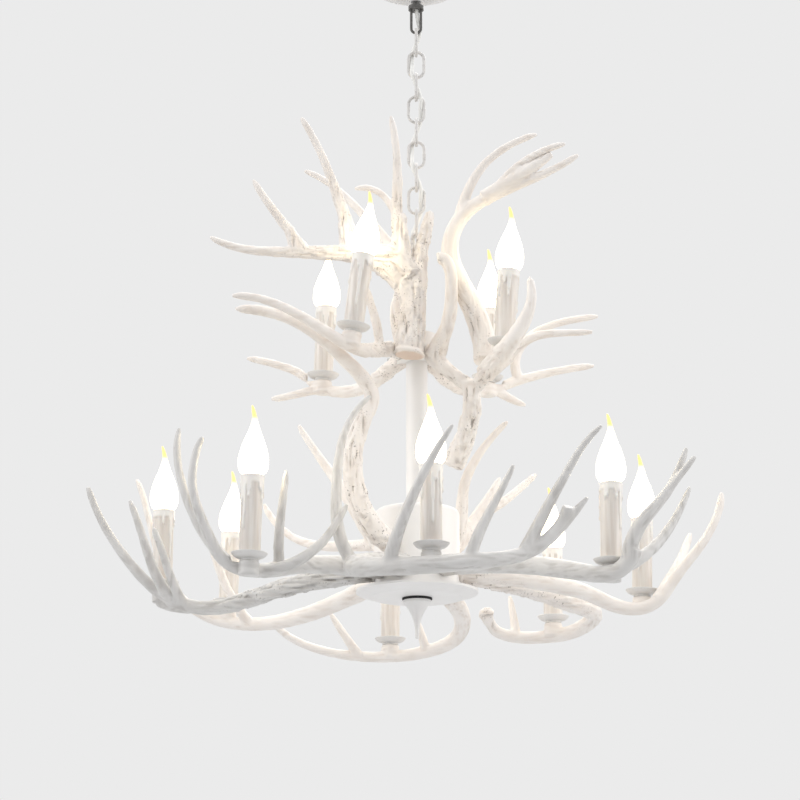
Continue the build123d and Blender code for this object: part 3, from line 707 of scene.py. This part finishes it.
class TreeKit:
    """Adds nodes to a tree, each with its inputs filled by name."""

    def __init__(self, tree: bpy.types.NodeTree) -> None:
        """Takes the tree."""
        self.tree = tree

    def put(self, kind: str, out: object = 0, **inputs: object) -> bpy.types.NodeSocket:
        """Adds a node.

        Args:
            kind: the node's type name.
            out: the output that is wanted, by name or number.
            inputs: sockets or values for its inputs, with _ for a space in a name.

        Returns:
            The output.
        """
        node = self.tree.nodes.new(kind)
        for name, value in inputs.items():
            self.fill(node.inputs[name.replace("_", " ")], value)
        return node.outputs[out]

    def fill(self, socket: bpy.types.NodeSocket, value: object) -> None:
        """Links a socket to an input, or sets the input's value."""
        if isinstance(value, bpy.types.NodeSocket):
            self.tree.links.new(value, socket)
        else:
            socket.default_value = value

    def calc(self, kind: str, a: object, b: object) -> bpy.types.NodeSocket:
        """Adds a sum, difference, product or larger one of two sockets or numbers."""
        node = self.tree.nodes.new("ShaderNodeMath")
        node.operation = kind
        for socket, value in zip(node.inputs, (a, b)):
            self.fill(socket, value)
        return node.outputs[0]


class GeometryKit(TreeKit):
    """A geometry tree that takes a mesh, named inputs and a finish, and ends in plain geometry."""

    def __init__(self, name: str, **inputs: str) -> None:
        """Starts the tree with its named inputs and their kinds."""
        super().__init__(bpy.data.node_groups.new(name, "GeometryNodeTree"))
        new_socket = self.tree.interface.new_socket
        for socket, kind in dict(Geometry="Geometry", **inputs, Finish="Material").items():
            new_socket(socket, in_out="INPUT", socket_type="NodeSocket" + kind)
        new_socket("Geometry", in_out="OUTPUT", socket_type="NodeSocketGeometry")
        self.given = self.tree.nodes.new("NodeGroupInput").outputs

    def finished(self, geometry: bpy.types.NodeSocket) -> bpy.types.NodeTree:
        """Ends the tree with real geometry in its finish."""
        real = self.put("GeometryNodeRealizeInstances", Geometry=geometry)
        painted = self.put("GeometryNodeSetMaterial", Geometry=real, Material=self.given["Finish"])
        self.tree.links.new(painted, self.tree.nodes.new("NodeGroupOutput").inputs["Geometry"])
        return self.tree


def standing_tree() -> bpy.types.NodeTree:
    """Builds the tree that stands one piece on each point of a mesh, turned by the point's turn value."""
    kit = GeometryKit("stand_on_points", Piece="Object", Size="Float")
    points = kit.put("GeometryNodeMeshToPoints", Mesh=kit.given["Geometry"])
    piece = kit.put("GeometryNodeObjectInfo", "Geometry", Object=kit.given["Piece"])
    turn = kit.tree.nodes.new("GeometryNodeInputNamedAttribute")
    turn.data_type = "FLOAT_VECTOR"
    turn.inputs["Name"].default_value = "turn"
    return kit.finished(kit.put("GeometryNodeInstanceOnPoints", Points=points, Instance=piece,
                                Rotation=turn.outputs["Attribute"], Scale=kit.given["Size"]))


def set_inputs(modifier: bpy.types.Modifier, **values: object) -> None:
    """Sets a geometry modifier's inputs by the sockets' identifiers.

    Args:
        modifier: a modifier with its tree set.
        values: the inputs' names, with _ for a space, and their values.
    """
    for item in modifier.node_group.interface.items_tree:
        key = item.name.replace(" ", "_")
        if item.in_out == "INPUT" and key in values:
            modifier[item.identifier] = values[key]


@dataclass
class Candles:
    """The twelve lights: dishes, candle tubes, lampholders, nipples and bulbs."""

    lights: list = field(default_factory=list)
    dish_r: float = 20.8 * MM
    dish_rim: float = 10.0 * MM
    dish_floor: float = 4.0 * MM
    dish_wall: float = 1.6 * MM
    boss_r: float = 11.0 * MM
    bore_r: float = 5.1 * MM

    def dish_mesh(self) -> bpy.types.Mesh:
        """Builds one drip dish: a small cup under a flared pan with a rolled rim.

        Returns:
            A closed mesh in the candle's own frame.
        """
        boss = self.boss_r
        pan = self.dish_r
        rim = self.dish_rim
        floor = self.dish_floor
        top = floor + self.dish_wall
        outside = [(self.bore_r, 0.0), (boss - 1.2 * MM, 0.0), (boss - 0.3 * MM, 0.5 * MM), (boss, 1.4 * MM),
                   (boss - 0.9 * MM, 2.6 * MM), (boss - 0.6 * MM, floor - 0.4 * MM), (boss + 1.5 * MM, floor),
                   (15.5 * MM, floor + 0.4 * MM), (18.0 * MM, floor + 1.8 * MM),
                   (19.6 * MM, floor + 3.6 * MM), (pan - 0.5 * MM, rim - 1.4 * MM), (pan, rim - 0.8 * MM),
                   (pan, rim - 0.2 * MM), (pan - 0.5 * MM, rim)]
        inside = [(pan - 1.3 * MM, rim - 0.1 * MM), (pan - 1.8 * MM, rim - 0.9 * MM),
                  (18.2 * MM, floor + 3.9 * MM), (16.8 * MM, top + 1.2 * MM), (14.8 * MM, top + 0.4 * MM),
                  (self.bore_r, top + 0.4 * MM)]
        return lathe("drip_dish", outside + inside)

    def stand_dishes(self) -> None:
        """Stands a drip dish on each seat."""
        source = show("dish_source", self.dish_mesh())
        seats = mesh_from("dish_seats", np.array([light.seat for light in self.lights]), [])
        turns = seats.attributes.new("turn", "FLOAT_VECTOR", "POINT")
        for item, light in zip(turns.data, self.lights):
            item.vector = light.matrix().to_euler()
        holder = show("dish_seats", seats)
        modifier = holder.modifiers.new("stand", "NODES")
        modifier.node_group = standing_tree()
        Finish.DISH.on(source)
        set_inputs(modifier, Piece=source, Size=1.0, Finish=source.data.materials[0])
        dishes = show("candle_dishes", evaluated_mesh(holder))
        bpy.data.objects.remove(holder)
        bpy.data.objects.remove(source)
        settle(dishes, PENDANT, "white_metal", "drip_dishes")

    def build(self) -> None:
        """Builds every light."""
        joints = [joint for joint in frame["joints"] if joint["child"].startswith("bulb_")]
        self.lights = [CandleLight.from_joint(joint) for joint in joints]
        self.stand_dishes()
        for number, light in enumerate(self.lights):
            sleeve = show(f"candle_tube_{light.name}", light.sleeve(100 + number))
            Finish.WAX.on(sleeve)
            settle(sleeve, PENDANT, "candle_plastic", "candle_sleeves")
            glass = show(f"lamp_glass_{light.name}", light.glass())
            Finish.LAMP.on(glass)
            settle(glass, f"bulb_{light.name}", "frosted_glass", f"bulb_{light.name}")
            cap = show(f"lamp_cap_{light.name}", light.cap())
            Finish.CAP.on(cap)
            settle(cap, f"bulb_{light.name}", "steel")
        Finish.HOLDER.on(frame["nodes"]["lampholders"])
        Finish.STEEL.on(frame["nodes"]["holder_nipples"])


# ---- antlers

@dataclass(frozen=True)
class Stroke:
    """A round form along a smooth line: a palm between two tines, or a tine that stands out in front.

    Its points are in millimetres, their heights above the tier's root level, with a radius at each point.
    """

    points: tuple
    radii: tuple

    def mesh(self, root: float) -> bpy.types.Mesh:
        """Builds the form.

        Args:
            root: the root level in metres.

        Returns:
            A closed mesh, in place.
        """
        places = [(x * MM, y * MM, z * MM + root) for x, y, z in self.points]
        return tube_along("stroke", places, MM, 10, self.radii)


@dataclass
class AntlerSkin:
    """One antler's skin: the CAD solid with webbed forks, grooves along it and pearls near its root."""

    node: str
    root: float
    finish: Finish = Finish.WARM_RESIN
    strokes: tuple = ()
    girth: float = 0.0
    swell: float = 2.2 * MM
    rough_at: tuple = (0.0, 0.0, 0.0)
    rough_reach: float = 130 * MM
    rough_end: tuple = ()
    end_reach: float = 15 * MM
    rough_depth: float = 0.55 * MM
    groove_depth: float = 0.16 * MM
    sawn_down: bool = False
    voxel: float = 1.25 * MM
    soften_rounds: int = 10
    web_rounds: int = 150
    web_limit: float = 9.0 * MM
    spread_rounds: int = 36
    tip_rounds: int = 110
    tip_shift: float = 5.0 * MM
    groove_rounds: int = 60
    pearl_rounds: int = 7
    pearl_level: float = 0.7
    pearl_top: float = 1.6
    groove_range: tuple = (-2.6, 1.2)
    press_in: float = 0.55
    press_out: float = 0.57
    web_pull: float = 0.6
    mesh: bpy.types.Mesh = None
    near: Neighbours = None

    def remesh(self) -> None:
        """Starts the skin: the CAD solid and its strokes under one even net of small quads."""
        whole = bmesh.new()
        whole.from_mesh(merged_copy(self.node))
        for stroke in self.strokes:
            whole.from_mesh(stroke.mesh(self.root))
        mesh = bpy.data.meshes.new(self.node + "_work")
        whole.to_mesh(mesh)
        whole.free()
        holder = show(self.node + "_work", mesh)
        remesh = holder.modifiers.new("skin", "REMESH")
        remesh.mode = "VOXEL"
        remesh.voxel_size = self.voxel
        self.mesh = evaluated_mesh(holder)
        self.near = Neighbours(self.mesh)
        bpy.data.objects.remove(holder)

    def soften(self) -> None:
        """Takes the net's steps out without shrinking the tips."""
        points = coordinates(self.mesh)
        for _ in range(self.soften_rounds):
            points = points + self.press_in * (self.near.mean(points) - points)
            points = points - self.press_out * (self.near.mean(points) - points)
        move_points(self.mesh, points)

    def spread(self, values: np.ndarray, rounds: int) -> np.ndarray:
        """Averages values over the skin again and again."""
        for _ in range(rounds):
            values = self.near.mean(values)
        return values

    def keep_clear(self, points: np.ndarray, lights: list) -> np.ndarray:
        """Finds how far each point may leave the CAD solid, beside the dishes, candles and bulbs.

        Args:
            points: the skin's points.
            lights: the lights.

        Returns:
            1 where the skin is free to grow, 0 where it stays as it is.
        """
        free = np.ones(len(points))
        for light in lights:
            local = (points - np.array(light.seat)) @ np.array(light.matrix().to_3x3())
            away = np.hypot(local[:, 0], local[:, 1])
            for radius, low, high in ((23.5 * MM, -0.2 * MM, 12 * MM), (19.5 * MM, 10 * MM, 230 * MM)):
                outside = np.clip((away - radius) / (6 * MM), 0, 1)
                beyond = np.clip(np.maximum(low - local[:, 2], local[:, 2] - high) / (4 * MM), 0, 1)
                free = np.minimum(free, np.maximum(outside, beyond))
        return free

    def roundness(self) -> np.ndarray:
        """Finds how far the normals around each point agree: little on a slim tine, fully on a flat."""
        return np.linalg.norm(self.spread(point_normals(self.mesh), self.spread_rounds), axis=1)

    def grain(self) -> np.ndarray:
        """Finds each point's direction along its branch, the one that the normals around it never take.

        Returns:
            One unit vector per point, its sign free.
        """
        n = point_normals(self.mesh)
        pairs = ((0, 0), (1, 1), (2, 2), (0, 1), (0, 2), (1, 2))
        products = np.stack([n[:, a] * n[:, b] for a, b in pairs], axis=1)
        products = self.spread(products, self.spread_rounds)
        tensor = np.empty((len(n), 3, 3))
        for k, (a, b) in enumerate(pairs):
            tensor[:, a, b] = products[:, k]
            tensor[:, b, a] = products[:, k]
        return np.linalg.eigh(tensor)[1][:, :, 0]

    def blunt(self) -> np.ndarray:
        """Finds how near each point is to the tip of its tine.

        Returns:
            1 at a tip, 0 on a shaft. Averaged places shift back along the branch only near its end.
        """
        points = coordinates(self.mesh)
        shift = ((self.spread(points, self.tip_rounds) - points) * self.grain()).sum(axis=1)
        return np.clip(np.abs(shift) / self.tip_shift, 0, 1)

    def web(self, lights: list) -> None:
        """Fills the sharp inner corners and fills the tines out, so that forks run into each other.

        Args:
            lights: the lights, whose dishes, candles and bulbs stay clear.
        """
        points = coordinates(self.mesh)
        free = self.keep_clear(points, lights)[:, None]
        slim = 1 - self.roundness()
        growth = self.near.mean((self.girth + self.swell * slim) * (1 - self.blunt()))
        points = points + free * point_normals(self.mesh) * growth[:, None]
        move_points(self.mesh, points)
        full = points.copy()
        for _ in range(self.web_rounds):
            normals = point_normals(self.mesh)
            pull = ((self.near.mean(points) - points) * normals).sum(axis=1)
            points = points + self.web_pull * free * np.maximum(pull, 0)[:, None] * normals
            moved = points - full
            over = np.maximum(np.linalg.norm(moved, axis=1) / self.web_limit, 1)
            points = full + moved / over[:, None]
            move_points(self.mesh, points)

    def roughness(self, points: np.ndarray) -> np.ndarray:
        """Finds where the skin is rough: near the antler's root, and round a knob at its end.

        Args:
            points: the skin's points.

        Returns:
            1 where the skin is roughest, 0 where it is smooth.
        """
        distance = np.linalg.norm(points - np.array(self.rough_at), axis=1)
        rough = np.clip(1.25 - distance / self.rough_reach, 0, 1)
        rough = rough * rough * (3 - 2 * rough)
        if self.rough_end:
            beside = np.linalg.norm(points - np.array(self.rough_end), axis=1)
            rough = np.maximum(rough, np.clip(1.5 - 1.5 * beside / self.end_reach, 0, 1))
        return rough

    def grooves(self, points: np.ndarray, rng: np.random.Generator) -> np.ndarray:
        """Draws random values and smears them along the branches.

        Args:
            points: the skin's points.
            rng: the antler's own source of random numbers.

        Returns:
            Values with a mean of 0 and a spread of 1, low in the grooves.
        """
        padded = np.concatenate([points, points[:1]])
        step = padded[self.near.others] - points[:, None, :]
        step = step / np.maximum(np.linalg.norm(step, axis=2), 1e-9)[:, :, None]
        along = (np.abs((step * self.grain()[:, None, :]).sum(axis=2)) ** 6 + 0.004) * self.near.there
        value = self.near.mean(rng.standard_normal(len(points)))
        for _ in range(self.groove_rounds):
            value = 0.5 * value + 0.5 * self.near.mean(value, along)
        return (value - value.mean()) / value.std()

    def carve(self) -> None:
        """Carves grooves along the branches, raises pearls near the root, and keeps both for the finish."""
        rng = np.random.default_rng(sum(ord(letter) for letter in self.node))
        points = coordinates(self.mesh)
        normals = point_normals(self.mesh)
        value = self.grooves(points, rng)
        pearl = self.spread(rng.standard_normal(len(points)), self.pearl_rounds)
        pearl = np.clip(pearl / pearl.std() - self.pearl_level, 0, self.pearl_top)
        rough = self.roughness(points)
        stout = np.clip(self.roundness() / 0.35, 0.15, 1)
        sawn = np.zeros(len(points))
        if self.sawn_down:
            low = points[:, 2] < points[:, 2].min() + 4 * MM
            sawn = self.near.mean(np.where(low & (normals[:, 2] < -0.85), 1.0, 0.0))
        groove = np.clip(value, *self.groove_range)
        height = groove * (self.groove_depth + rough * self.rough_depth) + pearl * rough * self.rough_depth
        height = height * (1 - sawn) * stout
        move_points(self.mesh, points + normals * height[:, None])
        keep_values(self.mesh, "groove", value)
        keep_values(self.mesh, "rough", rough)
        keep_values(self.mesh, "sawn", sawn)

    def build(self, lights: list) -> None:
        """Builds the antler.

        Args:
            lights: the chandelier's lights.
        """
        self.remesh()
        self.soften()
        self.web(lights)
        self.carve()
        self.mesh.shade_smooth()
        piece = show(self.node.replace("_antler", "_branch"), self.mesh)
        self.finish.on(piece)
        settle(piece, PENDANT, "ivory_resin", self.node)


@dataclass
class Antlers:
    """All eighteen antlers. Rough stretches are given from each tier's root level on the axis."""

    lower_root: float = -797.7 * MM
    upper_root: float = -517.7 * MM

    def skins(self) -> list:
        """Lists the antlers with what sets each one apart.

        Returns:
            One skin for each antler node.
        """
        low = self.lower_root
        high = self.upper_root
        # Painted shade: these lower front antlers wear the darker, greyer shaded copy of the resin.
        in_painted_shade = dict(finish=Finish.COOL_RESIN, rough_depth=0.15 * MM)
        set_apart = {
            "front_antler": dict(in_painted_shade, swell=1.2 * MM),
            "front_right_antler": dict(in_painted_shade, swell=1.6 * MM),
            "front_left_antler": dict(in_painted_shade, rough_depth=0.4 * MM),
            "right_antler": dict(swell=2.8 * MM),
            "left_antler": dict(finish=Finish.COOL_RESIN, rough_at=(-0.12, -0.004, low - 0.01),
                                rough_reach=0.14, rough_depth=0.8 * MM),
            "back_right_antler": dict(rough_at=(0.12, 0.06, low - 0.004), rough_reach=0.15,
                                      rough_depth=0.8 * MM),
            "left_upright_antler": dict(rough_at=(-0.06, -0.06, low + 0.08), rough_reach=0.16,
                                        rough_depth=0.7 * MM, girth=1.6 * MM, swell=3.0 * MM),
            "upper_front_left_antler": dict(swell=3.2 * MM),
            "upper_back_left_antler": dict(swell=3.0 * MM),
            "upper_back_right_antler": dict(swell=3.0 * MM),
            "tall_left_antler": dict(rough_at=(0.0, -0.038, high + 0.07), rough_reach=0.20,
                                     rough_depth=1.0 * MM, sawn_down=True, swell=2.6 * MM,
                                     strokes=self.tall_left_palms()),
            "tall_right_antler": dict(swell=2.4 * MM, strokes=self.tall_right_palms()),
            "right_long_antler": dict(rough_at=(0.058, -0.022, high - 0.117), rough_reach=0.14,
                                      rough_depth=0.8 * MM, strokes=self.right_long_tines(),
                                      rough_end=(0.027, -0.066, high + 0.104)),
        }
        skins = []
        for node in frame["nodes"]:
            if not node.endswith("_antler"):
                continue
            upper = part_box(node)[0].z > low + 0.03 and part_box(node)[1].z > high
            root = high if upper else low
            facts = dict(rough_at=(0.0, 0.0, root))
            facts.update(set_apart.get(node, {}))
            skins.append(AntlerSkin(node, root, **facts))
        return skins

    def tall_left_palms(self) -> tuple:
        """Gives the palms where the tall left antler's tines leave its beam."""
        return (
            Stroke(((-96, -45, 120), (-72, -43, 118), (-44, -42, 116), (-22, -41, 112), (-8, -40, 88)),
                   (10, 13, 15, 16, 14)),
            Stroke(((-84, -44, 118), (-86, -45, 138), (-92, -46, 160)), (11, 10, 7)),
            Stroke(((-150, -50, 120), (-152, -51, 132), (-160, -53, 146)), (8, 8, 6)),
            Stroke(((-22, -41, 112), (-20, -41, 140), (-22, -41, 170)), (14, 10, 7)),
        )

    def tall_right_palms(self) -> tuple:
        """Gives the palm between the tall right antler's last two tines."""
        return (
            Stroke(((84, -62, 184), (112, -70, 200), (142, -79, 218), (168, -86, 234)), (10, 10, 7.5, 3.5)),
        )

    def right_long_tines(self) -> tuple:
        """Gives the blunt tine in front of the tall beam, and the stout tine that curls under the candle."""
        return (
            Stroke(((20, -26, -10), (27, -36, 3), (36, -46, 16), (42, -54, 40), (43, -60, 62),
                    (43, -64, 82), (40, -66, 96), (33, -66, 105), (27, -66, 104)),
                   (11, 10, 9, 8.2, 7.8, 7.5, 7.4, 7.4, 6.5)),
            Stroke(((84, -52, -40), (98, -94, -32), (112, -120, -22), (132, -130, 8), (140, -130, 36),
                    (137, -128, 56)), (12, 12, 11, 8, 5.5, 3.5)),
        )

    def build(self, lights: list) -> None:
        """Builds every antler.

        Args:
            lights: the chandelier's lights.
        """
        for skin in self.skins():
            skin.build(lights)


# ---- chain and cord

LINK_CORNER_STEPS = 14
NEARLY_HALF = 0.4999
WIRE_SEGMENTS = 20
WELD_RINGS = 12
WELD_SHARE = 0.58
WELD_STRETCH = (1.0, 1.3, 1.0)


def link_tree() -> bpy.types.NodeTree:
    """Builds the tree of one welded chain link: wire swept round an oval, with the weld on one side.

    Returns:
        The geometry tree, with the link's sizes and place as inputs.
    """
    kit = GeometryKit("chain_link", Length="Float", Width="Float", Wire="Float", Centre="Float", Turn="Float")
    wire = kit.given["Wire"]
    height = kit.calc("SUBTRACT", kit.given["Length"], wire)
    width = kit.calc("SUBTRACT", kit.given["Width"], wire)
    oval = kit.put("GeometryNodeCurvePrimitiveQuadrilateral", Width=width, Height=height)
    rounded = kit.tree.nodes.new("GeometryNodeFilletCurve")
    rounded.mode = "POLY"
    rounded.inputs["Count"].default_value = LINK_CORNER_STEPS
    kit.fill(rounded.inputs["Curve"], oval)
    kit.fill(rounded.inputs["Radius"], kit.calc("MULTIPLY", width, NEARLY_HALF))
    round_wire = kit.put("GeometryNodeCurvePrimitiveCircle", Resolution=WIRE_SEGMENTS,
                         Radius=kit.calc("MULTIPLY", wire, 0.5))
    sweep = kit.put("GeometryNodeCurveToMesh", Curve=rounded.outputs["Curve"], Profile_Curve=round_wire)
    weld = kit.put("GeometryNodeMeshUVSphere", Segments=WIRE_SEGMENTS, Rings=WELD_RINGS,
                   Radius=kit.calc("MULTIPLY", wire, WELD_SHARE))
    weld_side = kit.put("ShaderNodeCombineXYZ", X=kit.calc("MULTIPLY", width, 0.5))
    weld = kit.put("GeometryNodeTransform", Geometry=weld, Translation=weld_side, Scale=WELD_STRETCH)
    both = kit.tree.nodes.new("GeometryNodeJoinGeometry")
    kit.fill(both.inputs["Geometry"], sweep)
    kit.fill(both.inputs["Geometry"], weld)
    quarter = (math.pi / 2, 0, 0)
    upright = kit.put("GeometryNodeTransform", Geometry=both.outputs["Geometry"], Rotation=quarter)
    placed = kit.put("GeometryNodeTransform", Geometry=upright,
                     Rotation=kit.put("ShaderNodeCombineXYZ", Z=kit.given["Turn"]),
                     Translation=kit.put("ShaderNodeCombineXYZ", Z=kit.given["Centre"]))
    return kit.finished(kit.put("GeometryNodeSetShadeSmooth", Geometry=placed))


@dataclass
class Chain:
    """The hanging chain, with the supply cord woven down through it."""

    wire: float = 4.0 * MM
    link_count: int = 9
    cord_r: float = 2.5 * MM
    weave_side: float = 5.0 * MM
    weave_corner: float = 6.2 * MM
    mouth_offset: float = 0.4 * MM
    tail: float = 26.0 * MM
    tube_rise: float = 34.0 * MM

    def bodies(self) -> list:
        """Lists the bodies that the cord passes, from the ceiling down."""
        return [FITTING] + [f"link_{k}" for k in range(1, self.link_count + 1)] + [PENDANT]

    def build_links(self) -> None:
        """Builds the nine links, one object for each body."""
        tree = link_tree()
        Finish.CHAIN.on(frame["nodes"]["chain_link_1"])
        finish = frame["nodes"]["chain_link_1"].data.materials[0]
        for number in range(1, self.link_count + 1):
            low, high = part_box(f"chain_link_{number}")
            edge_on = number % 2
            width = (high.y - low.y) if edge_on else (high.x - low.x)
            holder = show("link_work", mesh_from("link_work", np.zeros((1, 3)), []))
            modifier = holder.modifiers.new("link", "NODES")
            modifier.node_group = tree
            set_inputs(modifier, Length=high.z - low.z, Width=width, Wire=self.wire,
                       Centre=(low.z + high.z) / 2, Turn=math.pi / 2 if edge_on else 0.0, Finish=finish)
            piece = show(f"oval_link_{number}", evaluated_mesh(holder))
            bpy.data.objects.remove(holder)
            settle(piece, f"link_{number}", "white_chain", f"chain_link_{number}")

    def route(self) -> list:
        """Works out the cord's route, which winds a quarter turn round the chain at each link.

        Returns:
            Points in metres, from inside the ceiling tube to inside the stem.
        """
        centres = [sum(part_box(f"chain_link_{k}"), Vector()) / 2 for k in (1, 2)]
        pitch = centres[0].z - centres[1].z
        tube_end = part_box("ceiling_hook")[0].z + self.tube_rise
        stem_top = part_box("stem_rod")[1].z
        points = [(0, 0, tube_end + self.tail), (0, self.mouth_offset, tube_end - 5 * MM)]
        for step in range(2 * self.link_count + 1):
            angle = math.radians(45 + 45 * step)
            reach = self.weave_side if step % 2 else math.hypot(self.weave_corner, self.weave_corner)
            height = centres[0].z + pitch / 2 - step * pitch / 2
            points.append((reach * math.cos(angle), reach * math.sin(angle), height))
        points += [(0, self.mouth_offset, stem_top + 10 * MM), (0, 0, stem_top - self.tail)]
        return points

    def build_cord(self) -> None:
        """Builds the cord as one smooth tube, cut at each link's middle into separate runs."""
        tube = tube_along("cord_line", self.route(), self.cord_r, 8)
        bodies = self.bodies()
        cuts = [(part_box(f"chain_link_{k}")[0].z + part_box(f"chain_link_{k}")[1].z) / 2
                for k in range(1, self.link_count + 1)]
        for number, (upper, lower) in enumerate(zip(bodies, bodies[1:])):
            part = bmesh.new()
            part.from_mesh(tube)
            limits = [(cuts[number - 1], 1)] if number else []
            limits += [(cuts[number], -1)] if number < len(cuts) else []
            for height, side in limits:
                everything = part.verts[:] + part.edges[:] + part.faces[:]
                bmesh.ops.bisect_plane(part, geom=everything, plane_co=(0, 0, height), plane_no=(0, 0, side),
                                       clear_outer=True)
                rim = [e for e in part.edges if e.is_boundary]
                bmesh.ops.holes_fill(part, edges=rim)
            mesh = bpy.data.meshes.new(f"cord_run_{number + 1}")
            part.to_mesh(mesh)
            part.free()
            mesh.shade_smooth()
            piece = show(f"cord_run_{number + 1}", mesh)
            Finish.CORD.on(piece)
            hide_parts("power_cord")
            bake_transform(piece)
            log.info("%s bends from %s to %s", piece.name, upper, lower)

    def build(self) -> None:
        """Builds the links and the cord."""
        self.build_links()
        self.build_cord()
        Finish.HOOK.on(frame["nodes"]["ceiling_hook"])
        Finish.CHAIN.on(frame["nodes"]["stem_bail"])


# ---- stem, hubs and ceiling fitting

@dataclass
class Stem:
    """The turned bodies on the hanging rod, and the ceiling fitting."""

    # Painted shadow: the sizes of the black ring between the bottom dish and the finial.
    gasket_r: float = 18.5 * MM
    shadow_ring_height: float = 2.4 * MM
    shadow_ring_bore_r: float = 11.0 * MM

    def build(self) -> None:
        """Dresses the stem and the ceiling fitting, and adds a black ring above the finial as painted shadow
        in the gap under the bottom dish.
        """
        nodes = frame["nodes"]
        for node in ("upper_tube", "stem_tube", "upper_hub", "hub_cap", "lower_hub", "bottom_dish", "finial",
                     "canopy", "canopy_collar"):
            Finish.TURNED.on(nodes[node])
        for node in ("ceiling_bracket", "tube_nut", "stem_rod", "stem_nuts", "antler_bolts"):
            Finish.STEEL.on(nodes[node])
        # Painted shadow: a black ring round the finial's neck, under the bottom dish, stands for the shadow
        # in the gap between them.
        bore = self.shadow_ring_bore_r
        edge = self.gasket_r
        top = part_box("bottom_dish")[0].z
        foot = top - self.shadow_ring_height
        profile = [(bore, foot), (edge - 0.5 * MM, foot), (edge, foot + 0.5 * MM), (edge, top - 0.3 * MM),
                   (edge - 0.3 * MM, top), (bore, top)]
        shadow_ring = show("finial_gasket", lathe("finial_gasket", profile))
        Finish.GASKET.on(shadow_ring)
        settle(shadow_ring, PENDANT, "steel")


# ---- room

@dataclass
class Studio:
    """A plain pale room: floor, soft lamps, and a camera that looks up at the chandelier."""

    backdrop: float = 0.831
    sky: float = 1.3
    ground: float = 0.24
    horizon: tuple = (-0.5, 0.7)
    daylight: tuple = (0.97, 0.98, 1.0, 1)
    camera_at: tuple = (-0.021, -2.9944, -1.380)
    camera_rise: float = 15.0
    lens: float = 111.6
    sensor: float = 36.0
    floor_z: float = -2.4
    floor_half: float = 1.9
    middle: tuple = (0.0, 0.0, -0.6)

    def build_world(self) -> None:
        """Gives the world a soft light, and the photograph's grey to the camera, metal and glass."""
        world = bpy.data.worlds.new("studio")
        bpy.context.scene.world = world
        world.use_nodes = True
        kit = TreeKit(world.node_tree)
        kit.tree.nodes.clear()
        path = kit.tree.nodes.new("ShaderNodeLightPath").outputs
        plain_view = kit.calc("MAXIMUM", path["Is Camera Ray"], path["Is Glossy Ray"])
        plain_view = kit.calc("MAXIMUM", plain_view, path["Is Transmission Ray"])
        seen = kit.put("ShaderNodeBackground", Color=(1, 1, 1, 1), Strength=self.backdrop)
        sight = kit.put("ShaderNodeTexCoord", "Generated")
        height = kit.put("ShaderNodeSeparateXYZ", "Z", Vector=sight)
        low, high = self.horizon
        level = kit.put("ShaderNodeMapRange", Value=height, From_Min=low, From_Max=high,
                        To_Min=self.ground, To_Max=self.sky)
        light = kit.put("ShaderNodeBackground", Color=self.daylight, Strength=level)
        mix = kit.tree.nodes.new("ShaderNodeMixShader")
        for socket, value in zip(mix.inputs, (plain_view, light, seen)):
            kit.fill(socket, value)
        kit.fill(kit.tree.nodes.new("ShaderNodeOutputWorld").inputs["Surface"], mix.outputs[0])

    def lamp(self, name: str, at: tuple, size: float, power: float, colour: tuple) -> None:
        """Adds a soft lamp that faces the middle of the chandelier.

        Args:
            name: the lamp's name.
            at: its place.
            size: its width in metres.
            power: its power in watts.
            colour: its colour.
        """
        data = bpy.data.lights.new(name, "AREA")
        data.size = size
        data.energy = power
        data.color = colour
        lamp = bpy.data.objects.new(name, data)
        bpy.context.scene.collection.objects.link(lamp)
        lamp.location = at
        lamp.rotation_euler = (Vector(self.middle) - Vector(at)).to_track_quat("-Z", "Y").to_euler()

    def build(self) -> None:
        """Builds the room, the lamps and the camera."""
        self.build_world()
        half = self.floor_half
        corners = [(-half, -half), (half, -half), (half, half), (-half, half)]
        points = np.array([(x, y, self.floor_z) for x, y in corners])
        floor = show("floor", mesh_from("floor", points, [[0, 1, 2, 3]]))
        kit = NodeKit("pale_floor")
        speckle = kit.ramp(kit.noise(3.0, 2.0), 0.3, 0.7)
        kit.link(kit.mix(kit.times(speckle, 0.3), (0.72, 0.72, 0.72), (0.68, 0.68, 0.68)),
                 kit.shader.inputs["Base Color"])
        kit.shader.inputs["Roughness"].default_value = 0.9
        floor.data.materials.append(kit.material)
        self.lamp("key", (0.6, 1.6, 1.6), 2.2, 42, (1.0, 0.98, 0.955))
        self.lamp("left", (-2.4, -0.6, 0.2), 1.6, 19, (1.0, 0.98, 0.955))
        self.lamp("right", (2.4, -0.4, -0.2), 1.6, 17, (1.0, 0.98, 0.96))
        camera_data = bpy.data.cameras.new("camera")
        camera_data.lens = self.lens
        camera_data.sensor_width = self.sensor
        camera = bpy.data.objects.new("camera", camera_data)
        bpy.context.scene.collection.objects.link(camera)
        camera.location = self.camera_at
        camera.rotation_euler = (math.radians(90 + self.camera_rise), 0, 0)
        bpy.context.scene.camera = camera
        bpy.context.scene.view_settings.view_transform = "Standard"


def main() -> None:
    """Builds the chandelier around its frame, from the lights down to the room."""
    candles = Candles()
    candles.build()
    Antlers().build(candles.lights)
    Chain().build()
    Stem().build()
    Studio().build()


if __name__ == "__main__":
    main()
